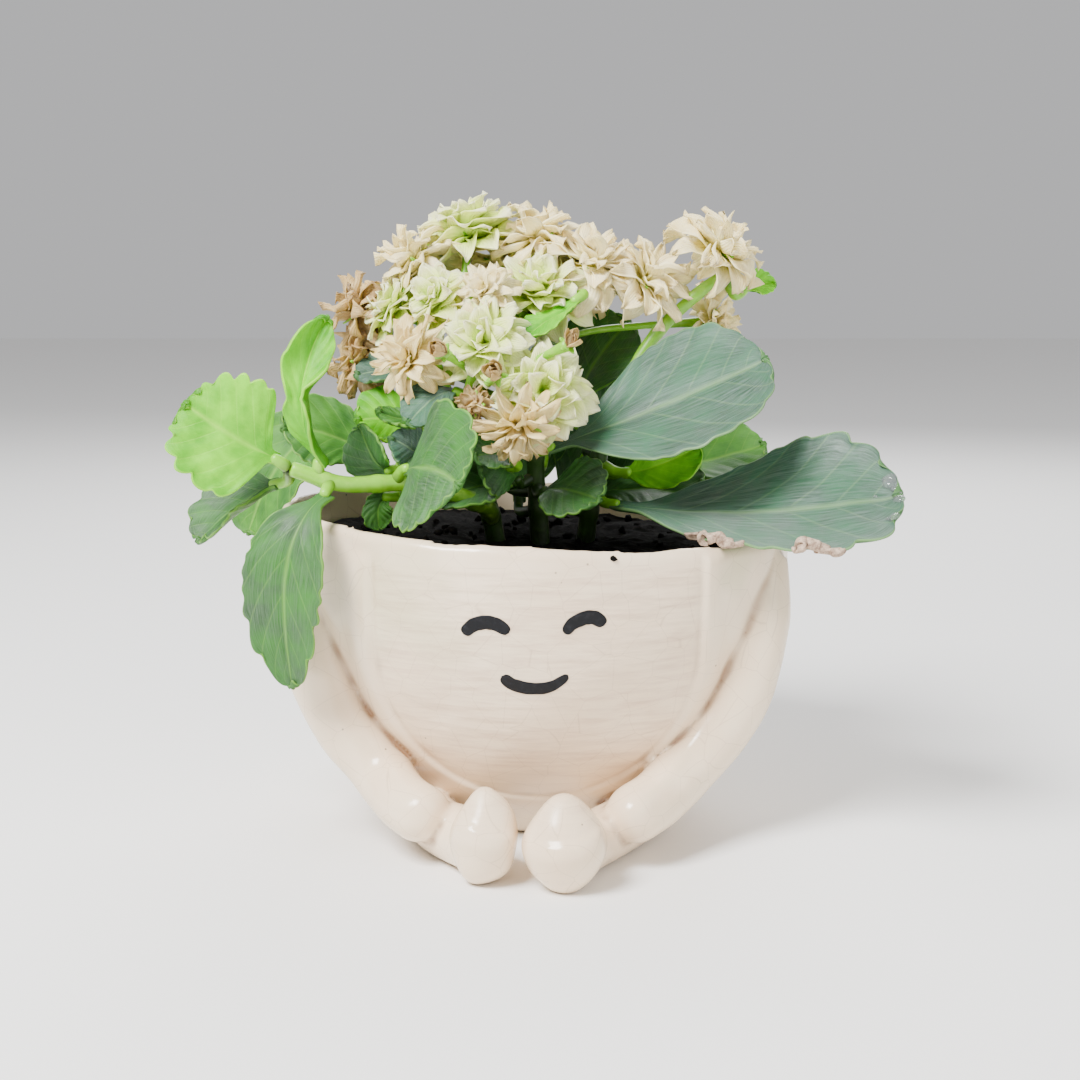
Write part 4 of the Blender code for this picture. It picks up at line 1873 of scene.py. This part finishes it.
@dataclass
class FlowerHead:
    """A double flower head on its thin stalk.

    Attributes:
        name: The CAD node that it stands for.
        kind: The stage that it is in.
        swell: How much larger its petals reach than the CAD node's plain solid.
        turned: A direction added to the way it faces.
    """

    name: str
    kind: HeadKind
    swell: float = 1.7
    turned: Triple = (0.0, 0.0, 0.0)

    def seat(self) -> tuple[Vector, float, Vector]:
        """The head's middle and radius, and the way it faces."""
        low, high = box_mm(self.name)
        middle = (low + high) / 2
        radius = max(high - low) / 2 * self.swell
        facing = (middle - PLANT_HEART).normalized() + Vector(self.turned)
        return middle, radius, facing.normalized()

    def build(self) -> bpy.types.Object:
        """Makes the head that stands for the CAD one."""
        middle, radius, facing = self.seat()
        bloom = self.kind.value
        rng = random.Random(self.name)
        turn = facing.to_track_quat("Z", "Y").to_matrix()
        bottom = middle - facing * radius * 0.5
        bm = bmesh.new()
        for i in range(bloom.petals):
            share = (i + 0.5) / bloom.petals
            angle = bloom.inner + (bloom.outer - bloom.inner) * share**0.8 + rng.uniform(-7, 7)
            around = i * math.radians(137.5) + rng.uniform(-0.25, 0.25)
            size = radius * (0.72 + 0.28 * share) * rng.uniform(0.85, 1.08)
            self.add_petal(bm, bottom, turn, size, angle, around, rng)
        return finish_piece(
            f"petals_of_{self.name}", bm, bloom.tint.value, [self.name]
        )

    def add_petal(
        self,
        bm: bmesh.types.BMesh,
        bottom: Vector,
        turn: Matrix,
        size: float,
        angle: float,
        around: float,
        rng: random.Random,
    ) -> None:
        """Adds one petal.

        Args:
            bm: The head's mesh.
            bottom: Where all its petals meet.
            turn: The head's rotation.
            size: The head's radius, as this petal's measure.
            angle: The petal's angle from the head's axis at its base, in degrees.
            around: Which way it points round the axis, in radians.
            rng: Where its irregularities come from.
        """
        bloom = self.kind.value
        length = bloom.length * size
        width = bloom.width * size * rng.uniform(0.8, 1.15)
        curl = math.radians(bloom.curl * rng.uniform(0.5, 1.5))
        twist = math.radians(rng.uniform(-bloom.twist, bloom.twist))
        seed = rng.uniform(0, 100)
        start = math.radians(angle)
        out = Vector((math.cos(around), math.sin(around), 0))
        steps = 14
        spine = [Vector()]
        for i in range(steps):
            lean = start + curl * ((i + 0.5) / steps) ** 2
            step = out * math.sin(lean) + Vector((0, 0, math.cos(lean)))
            spine.append(spine[-1] + step * length / steps)

        def place(along: float, across: float) -> Vector:
            """The point of the petal's upper side at a share along and across."""
            at = along * steps
            i = min(steps - 1, int(at))
            centre = spine[i].lerp(spine[i + 1], at - i)
            onward = (spine[i + 1] - spine[i]).normalized()
            side = onward.cross(out.cross(Vector((0, 0, 1)))).normalized()
            flat = Matrix.Rotation(twist * along, 3, onward) @ onward.cross(side)
            up = flat.cross(onward)
            half = width / 2 * 1.9 * (along + 0.04) ** 0.62 * (1.02 - along) ** 0.75
            rise = -0.3 * half * across**2
            wander = noise.noise(Vector((along * 2.5, across * 1.1, seed)))
            rise += bloom.crumple * size * wander * (0.3 + along)
            rise += 0.1 * size * math.sin(5 * along + seed) * across * along
            return bottom + turn @ (centre + flat * across * half + up * rise)

        add_sheet(bm, 9, 4, place, lambda along, across: 0.28 - 0.14 * along)


@dataclass
class FlowerStalks:
    """The thin green stalks from the flower stalks' ends to the heads, with their sepals."""

    radius: float = 0.85
    sepal_length: float = 0.75
    sepals: int = 5

    def build(
        self, heads: Sequence[FlowerHead], stalks: Sequence[Stem], finish: Finish
    ) -> bpy.types.Object:
        """Makes a thin stalk and sepals for each head.

        Args:
            heads: The flower heads.
            stalks: The stalks that they grow from.
            finish: Their skin.

        Returns:
            One piece with all of them.
        """
        bm = bmesh.new()
        for head in heads:
            middle, radius, facing = head.seat()
            bottom = middle - facing * radius * 0.5
            joint = self.joint_for(bottom, stalks)
            bend = joint.lerp(bottom, 0.55) - facing * (bottom - joint).length * 0.18
            path = curve_through([joint, bend, bottom + facing * radius * 0.08], 1.2)
            last = len(path) - 1
            flare = [self.radius * (1 + 0.9 * (i / last) ** 6) for i in range(last + 1)]
            add_tube(bm, path, flare, 10)
            self.add_sepals(bm, bottom, facing, radius)
        return finish_piece("thin_flower_stalks", bm, finish)

    def joint_for(self, bottom: Vector, stalks: Sequence[Stem]) -> Vector:
        """The place on the nearest stalk's upper third where a head's own stalk leaves it."""
        spots = [spot for stalk in stalks for spot in stalk.path[len(stalk.path) * 2 // 3 :]]
        lower = [spot for spot in spots if spot.z < bottom.z - 3] or spots
        return min(lower, key=lambda spot: (spot - bottom).length)

    def add_sepals(
        self, bm: bmesh.types.BMesh, bottom: Vector, facing: Vector, radius: float
    ) -> None:
        """Adds the narrow sepals under one head.

        Args:
            bm: The mesh.
            bottom: The head's lowest point.
            facing: The way that the head faces.
            radius: Its radius.
        """
        turn = facing.to_track_quat("Z", "Y").to_matrix()
        length = min(6.0, self.sepal_length * radius)
        for i in range(self.sepals):
            around = math.tau * i / self.sepals
            out = Vector((math.cos(around), math.sin(around), 0))
            side = Vector((-out.y, out.x, 0))

            def place(along: float, across: float) -> Vector:
                """The point of a sepal at a share along and across."""
                half = 1.0 * (1 - along) ** 0.8 * (0.5 + along)
                bent = out * math.sin(1.1 * along) + Vector((0, 0, 0.35 * along))
                return bottom + turn @ (bent * length + side * across * half)

            add_sheet(bm, 5, 2, place, lambda along, across: 0.4)


# --- Details on the leaves -------------------------------------------------------------------


@dataclass
class WaterDrops:
    """Drops left by watering near the tip of the lowest right-hand leaf."""

    spots: tuple[tuple[float, float, float], ...] = (
        (0.88, 0.62, 1.5),
        (0.83, 0.5, 1.1),
        (0.86, 0.36, 1.9),
        (0.9, 0.3, 1.2),
        (0.96, 0.35, 0.8),
        (0.97, 0.1, 1.0),
        (0.93, -0.3, 1.6),
        (0.85, -0.78, 1.9),
        (0.8, -0.6, 0.7),
        (0.74, 0.1, 0.6),
        (0.9, 0.0, 0.6),
    )

    def build(self, leaf: Leaf, finish: Finish) -> bpy.types.Object:
        """Lays the drops on a leaf.

        Args:
            leaf: The leaf, already built.
            finish: Water.

        Returns:
            One piece with all the drops.
        """
        skin = bpy.data.objects[f"grown_{leaf.name}"].data
        along = np.array([item.value for item in skin.attributes["along"].data])
        across = np.array([item.value for item in skin.attributes["across"].data])
        under = np.array([item.value for item in skin.attributes["under"].data])
        bm = bmesh.new()
        for at, side, size in self.spots:
            nearest = int(np.argmin((along - at) ** 2 + (across - side) ** 2 + under))
            vert = skin.vertices[nearest]
            turn = vert.normal.to_track_quat("Z", "Y").to_matrix()
            made = bmesh.ops.create_uvsphere(bm, u_segments=20, v_segments=12, radius=size)["verts"]
            for drop in made:
                squeezed = Vector((drop.co.x, drop.co.y * 0.8, max(drop.co.z, -0.2 * size) * 0.5))
                drop.co = vert.co / MM + turn @ squeezed
        return finish_piece("water_drops", bm, finish)


@dataclass
class DriedMargins:
    """Two stretches of the lowest leaf's margin that died and curled up dry."""

    stretches: tuple[tuple[float, float], ...] = ((0.22, 0.36), (0.47, 0.6))
    side: float = -1.0
    depth: float = 3.0

    def build(self, leaf: Leaf, finish: Finish) -> bpy.types.Object:
        """Adds the dry crusts to a leaf's lower margin.

        Args:
            leaf: The leaf, already built.
            finish: Dry tissue.

        Returns:
            One piece with both crusts.
        """
        skin = bpy.data.objects[f"grown_{leaf.name}"].data
        along = np.array([item.value for item in skin.attributes["along"].data])
        across = np.array([item.value for item in skin.attributes["across"].data])
        bm = bmesh.new()
        for start, end in self.stretches:
            path = []
            radii = []
            for i in range(22):
                at = start + (end - start) * i / 21
                nearest = int(np.argmin((along - at) ** 2 + (across - self.side) ** 2))
                wander = noise.noise_vector(Vector((at * 60, 0, 0)))
                path.append(skin.vertices[nearest].co / MM + wander * 0.8)
                swell = math.sin(math.pi * (i + 0.5) / 22) ** 0.5
                radii.append(self.depth / 2 * swell * (0.7 + 0.6 * abs(wander.x)))
            made = add_tube(bm, path, radii, 12)
            for vert in made:
                vert.co += noise.noise_vector(vert.co * 0.9) * 0.9
        return finish_piece("dried_leaf_margins", bm, finish, smoothing=1)


# --- The whole plant -------------------------------------------------------------------------

LEAVES = (
    Leaf("upper_right_leaf", (25, -11, 11), (52, -13, 23), 41, (-0.3, -0.62, 0.72),
         LeafTint.SILVER, teeth=22, tooth=1.9, cup=0.1),
    Leaf("lower_right_leaf", (30, -20, 1), (66, -29, 6), 42, (0.05, -0.55, 0.83),
         LeafTint.SILVER, 0.75, teeth=20, tooth=4.8, cup=0.22),
    Leaf("back_right_leaf", (16, 4, 3), (31, 6, 7), 24, (-0.1, -0.55, 0.8), LeafTint.MUTED),
    Leaf("inner_right_leaf", (8, -3, 2), (19, -2, 7), 15, (-0.2, -0.85, 0.4), LeafTint.BRIGHT,
         teeth=10, tooth=0.8),
    Leaf("centre_bract", (-6, -6, -4), (-14, -10, -9), 9, (-0.3, -0.5, 0.8), LeafTint.BRIGHT,
         tooth=0.2, thickness=1.0),
    Leaf("centre_back_leaf", (4, 5, 12), (14, 8, 24), 29, (-0.5, -0.7, 0.5), tooth=0.8),
    Leaf("right_bract", (4, 2, 2), (9, 4, 2), 7, (0.0, -0.9, 0.4), LeafTint.BRIGHT, teeth=6,
         tooth=0.3, thickness=0.9),
    Leaf("shoot_end_leaf", (-10, -5, 6), (-22, -4, 14), 30, (-0.15, -0.9, 0.35),
         LeafTint.BRIGHT, 0.42, teeth=18, tooth=3.4, blunt=2.8),
    Leaf("shoot_upper_leaf", (-5, -4, 15), (1, 2, 34), 11, (-0.5, -0.85, 0.15),
         LeafTint.BRIGHT, 0.6, twist=120, teeth=12, tooth=1.4, pinch=0.6, cup=0.5),
    Leaf("hanging_leaf", (-9, -10, -14), (-9, -6, -44), 21, (-0.35, -0.9, 0.15),
         LeafTint.DARK, 0.55, teeth=20, tooth=3.0, blunt=1.9),
    Leaf("shoot_far_leaf", (-10, 2, -5), (-21, 0, -15), 20, (-0.4, -0.5, 0.75),
         LeafTint.DARK, 0.5, teeth=14, tooth=1.8, fold=0.35),
    Leaf("back_left_leaf", (-25, 1, -3), (-40, -1, -28), 25, (-0.3, -0.75, 0.6),
         LeafTint.MUTED, tooth=1.8),
    Leaf("left_behind_leaf", (-13, -4, 8), (-25, -8, 10), 20, (-0.2, -0.8, 0.5),
         LeafTint.MUTED, tooth=1.0),
    Leaf("front_leaf", (7, -13, 2), (14, -21, -1), 33, (-0.75, -0.5, 0.4), LeafTint.DARK,
         0.42, teeth=18, tooth=3.0, blunt=2.8),
    Leaf("front_inner_leaf", (-2, -5, 4), (-7, -7, 7), 11, (-0.3, -0.8, 0.5), LeafTint.SILVER,
         teeth=10, tooth=0.8),
    Leaf("left_curled_leaf", (-5, -3, 3), (-9, -1, 12), 13, (-0.6, -0.75, 0.2), LeafTint.DARK,
         teeth=10, tooth=0.9, cup=0.5),
    Leaf("small_drooping_leaf", (-3, -2, -2), (-3, -2, -8), 8, (0, -0.9, 0.3), LeafTint.MUTED,
         teeth=8, tooth=0.6, thickness=1.2),
    Leaf("left_high_leaf", (-8, -6, 4), (-16, -8, 3), 12, (0, -0.6, 0.8), LeafTint.SILVER,
         teeth=9, tooth=1.1),
    Leaf("left_bright_leaf", (-8, -3, 4), (-16, -5, 4), 18, (0, -0.7, 0.7), LeafTint.BRIGHT,
         teeth=11, tooth=1.1),
    Leaf("grey_leaf", (-6, -6, -1), (-12, -8, -7), 13, (-0.1, -0.6, 0.8), LeafTint.SILVER,
         teeth=10, tooth=0.7),
    Leaf("shade_leaf", (-4, -6, 3), (-9, -10, 3), 13, (0, -0.7, 0.7), teeth=10, tooth=0.8),
    Leaf("rear_left_leaf", (-17, 23, 8), (-35, 41, 0), 29, (-0.2, 0.3, 0.9), tooth=1.8),
    Leaf("rear_right_leaf", (18, 22, 7), (36, 38, 0), 34, (0.2, 0.3, 0.9), tooth=1.8),
    Leaf("rear_centre_leaf", (2, 28, 11), (0, 56, 2), 36, (0.0, 0.35, 0.9), LeafTint.SILVER,
         tooth=1.8),
    Leaf("rear_upper_leaf", (-8, 16, 13), (-14, 32, 14), 26, (-0.1, 0.2, 0.95), tooth=1.4),
)

INNER_LEAVES = (
    Leaf("narrow_leaf", (-6, -4, 0), (-13, -6, 2), 6, (-0.1, -0.7, 0.7), LeafTint.MUTED,
         teeth=6, tooth=0.4, base=(-23, -21, 101)),
    Leaf("inner_leaf_behind_left", (-12, 4, 6), (-26, 4, 8), 26, (-0.2, -0.8, 0.5),
         base=(-8, 6, 82)),
    Leaf("inner_leaf_behind_centre", (-1, 4, 9), (-4, 2, 20), 28, (0.0, -0.95, 0.3),
         base=(-4, 8, 77)),
    Leaf("inner_leaf_behind_right", (7, 4, 7), (16, 3, 15), 28, (0.1, -0.95, 0.3),
         base=(6, 9, 78)),
    Leaf("inner_leaf_low_right", (12, -3, 2), (25, -9, 1), 22, (0.1, -0.6, 0.8),
         base=(15, 0, 80)),
    Leaf("inner_leaf_upper_right", (9, 3, 10), (19, 4, 19), 26, (-0.1, -0.9, 0.4),
         base=(14, 5, 92)),
    Leaf("inner_leaf_low_centre", (5, -7, 2), (13, -12, 0), 20, (0.0, -0.7, 0.7),
         base=(2, -12, 82)),
    Leaf("inner_leaf_front_left", (-3, -6, 4), (-9, -9, 6), 16, (-0.1, -0.9, 0.4),
         base=(-4, -8, 84)),
    Leaf("inner_leaf_low_left", (-8, -5, 0), (-19, -10, -3), 18, (-0.2, -0.6, 0.8),
         base=(-6, -9, 84)),
)

STEMS = (
    Stem("centre_stem", ((1, -3, 70), (0, -5, 86), (0, -8, 98)), 2.6, 2.0, True),
    Stem("right_stem", ((13, 3, 70), (15, 0, 84), (17, -3, 95)), 2.5, 2.0, True),
    Stem("left_stem", ((-10, -4, 70), (-13, -8, 84), (-16, -12, 96)), 2.5, 2.0, True),
    Stem("side_shoot", ((-13, -13, 79), (-28, -27, 86), (-44, -35, 87), (-56, -38, 91)), 2.3, 1.8,
         origin=(-11, -6, 75)),
)

FLOWER_STALKS = (
    Stem("right_flower_stalk", ((18, -4, 97), (28, -4, 117), (40, 0, 129), (47, 0, 134)), 1.8, 1.4),
    Stem("centre_flower_stalk", ((1, -9, 100), (2, -11, 112), (1, -12, 124)), 1.8, 1.4),
    Stem("left_flower_stalk", ((-17, -12, 98), (-23, -10, 110), (-26, -8, 122)), 1.8, 1.4),
    Stem("front_flower_stalk", ((-15, -16, 98), (-16, -23, 104), (-14, -28, 112)), 1.6, 1.2),
    Stem("far_left_flower_stalk", ((-20, -8, 99), (-33, 3, 107), (-42, 1, 111)), 1.5, 1.2),
)

HEADS = (
    FlowerHead("fresh_flower_top", HeadKind.FRESH),
    FlowerHead("cream_flower_top_left", HeadKind.CREAM),
    FlowerHead("fresh_flower_left", HeadKind.FRESH),
    FlowerHead("fresh_flower_left_centre", HeadKind.FRESH, turned=(0, -0.5, 0)),
    FlowerHead("dried_flower_left_upper", HeadKind.DRIED),
    FlowerHead("dried_flower_left_lower", HeadKind.DRIED),
    FlowerHead("cream_flower_front_left", HeadKind.TAN, turned=(0, -0.4, 0)),
    FlowerHead("fresh_flower_front", HeadKind.FRESH, turned=(0, -0.4, 0)),
    FlowerHead("cream_flower_curled", HeadKind.CREAM, turned=(0, -0.4, 0)),
    FlowerHead("fresh_flower_centre", HeadKind.FRESH, turned=(0, -0.4, 0)),
    FlowerHead("cream_flower_top", HeadKind.CREAM),
    FlowerHead("cream_flower_top_behind", HeadKind.CREAM),
    FlowerHead("cream_flower_star", HeadKind.CREAM, turned=(0, -0.4, 0)),
    FlowerHead("cream_flower_right", HeadKind.CREAM, turned=(0, -0.4, 0)),
    FlowerHead("cream_flower_far_right", HeadKind.CREAM),
    FlowerHead("cream_flower_right_low", HeadKind.CREAM, turned=(0.5, -0.4, -0.5)),
    FlowerHead("fresh_flower_low", HeadKind.FRESH),
    FlowerHead("cream_flower_hanging", HeadKind.TAN, turned=(0, 0, -1.2)),
    FlowerHead("dried_bud_front", HeadKind.DRIED),
    FlowerHead("dried_bud_high", HeadKind.BUD, 1.35),
    FlowerHead("dried_bud_centre", HeadKind.BUD, 1.35),
    FlowerHead("dried_bud_right", HeadKind.BUD, 1.35),
    FlowerHead("cream_flower_rear_left", HeadKind.CREAM),
    FlowerHead("cream_flower_rear_centre", HeadKind.CREAM),
)


@dataclass
class Kalanchoe:
    """The plant: its stems, leaves and flower heads, and what lies on its leaves."""

    stems: tuple[Stem, ...] = STEMS
    stalks: tuple[Stem, ...] = FLOWER_STALKS
    leaves: tuple[Leaf, ...] = LEAVES
    inner_leaves: tuple[Leaf, ...] = INNER_LEAVES
    heads: tuple[FlowerHead, ...] = HEADS

    def build(self) -> None:
        """Makes every piece of the plant."""
        skin = StemSkin()
        # painted shade: a darker copy of the stem skin for the rooted stems and the inner leaf stalks,
        # which stand in shade under the leaves
        shaded_stem_skin = StemSkin("shaded kalanchoe stem", "2C4A18", "0F140A", "3F6322")
        for stem in self.stems + self.stalks:
            stem.build(shaded_stem_skin if stem.rooted else skin)
        for leaf in self.leaves + self.inner_leaves:
            leaf.build()
        branches = self.stems + self.stalks
        LeafStalks("leaf_stalks").build(self.leaves, branches, skin)
        LeafStalks("inner_leaf_stalks").build(self.inner_leaves, branches, shaded_stem_skin)
        for head in self.heads:
            head.build()
        FlowerStalks().build(self.heads, self.stalks, skin)
        wet_leaf = next(leaf for leaf in self.leaves if leaf.name == "lower_right_leaf")
        WaterDrops().build(wet_leaf, Water())
        DriedMargins().build(wet_leaf, DryTissue())


# --- Studio ----------------------------------------------------------------------------------


@dataclass
class Lamp:
    """A square soft light.

    Attributes:
        name: Its name.
        place: Where it hangs, in metres.
        size: Its side, in metres.
        power: Its power, in watts.
    """

    name: str
    place: Triple
    size: float
    power: float

    def hang(self, aim: Vector) -> None:
        """Hangs the light and points it at a place."""
        light = bpy.data.lights.new(self.name, "AREA")
        light.size = self.size
        light.energy = self.power
        lamp = bpy.data.objects.new(self.name, light)
        lamp.location = self.place
        lamp.rotation_euler = (aim - lamp.location).to_track_quat("-Z", "Y").to_euler()
        bpy.context.scene.collection.objects.link(lamp)


@dataclass
class Studio:
    """The pale floor, the soft lights and the camera. Sizes are in metres."""

    floor_size: float = 6.0
    camera_place: Triple = (0.0012, -0.420, 0.135)
    camera_pitch: float = 9.03
    lens: float = 56.57
    sky: str = "F6F6F8"
    sky_strength: float = 0.6
    lamps: tuple[Lamp, ...] = (
        Lamp("key_light", (-0.4, -0.5, 0.75), 0.35, 24.0),
        Lamp("fill_light", (0.6, -0.5, 0.35), 0.7, 3.0),
        Lamp("back_light", (0.15, 0.65, 0.6), 0.5, 6.0),
    )

    def build(self) -> None:
        """Sets up the floor, the lights and the camera."""
        bm = bmesh.new()
        bmesh.ops.create_grid(bm, x_segments=1, y_segments=1, size=self.floor_size / 2)
        mesh = bpy.data.meshes.new("studio_floor")
        bm.to_mesh(mesh)
        bm.free()
        mesh.materials.append(StudioPaper().material())
        floor = bpy.data.objects.new("studio_floor", mesh)
        bpy.context.scene.collection.objects.link(floor)
        floor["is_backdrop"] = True
        low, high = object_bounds()
        aim = (Vector(low) + Vector(high)) / 2
        for lamp in self.lamps:
            lamp.hang(aim)
        world = bpy.data.worlds.new("studio_sky")
        world.use_nodes = True
        background = world.node_tree.nodes["Background"]
        background.inputs["Color"].default_value = linear(self.sky)
        background.inputs["Strength"].default_value = self.sky_strength
        bpy.context.scene.world = world
        lens = bpy.data.cameras.new("front_camera")
        lens.lens = self.lens
        camera = bpy.data.objects.new("front_camera", lens)
        camera.location = self.camera_place
        camera.rotation_euler = (math.radians(90 - self.camera_pitch), 0, 0)
        bpy.context.scene.collection.objects.link(camera)
        bpy.context.scene.camera = camera


def main() -> None:
    """Builds the pot, the plant and the studio."""
    logging.basicConfig(level=logging.INFO, format="%(name)s: %(message)s")
    pot = FigurePot().build(GlazedStoneware())
    PaintedFace().build(pot, BrushedPaint())
    PottingSoil().build(pot, PottingMix())
    Kalanchoe().build()
    Studio().build()


if __name__ == "__main__":
    main()
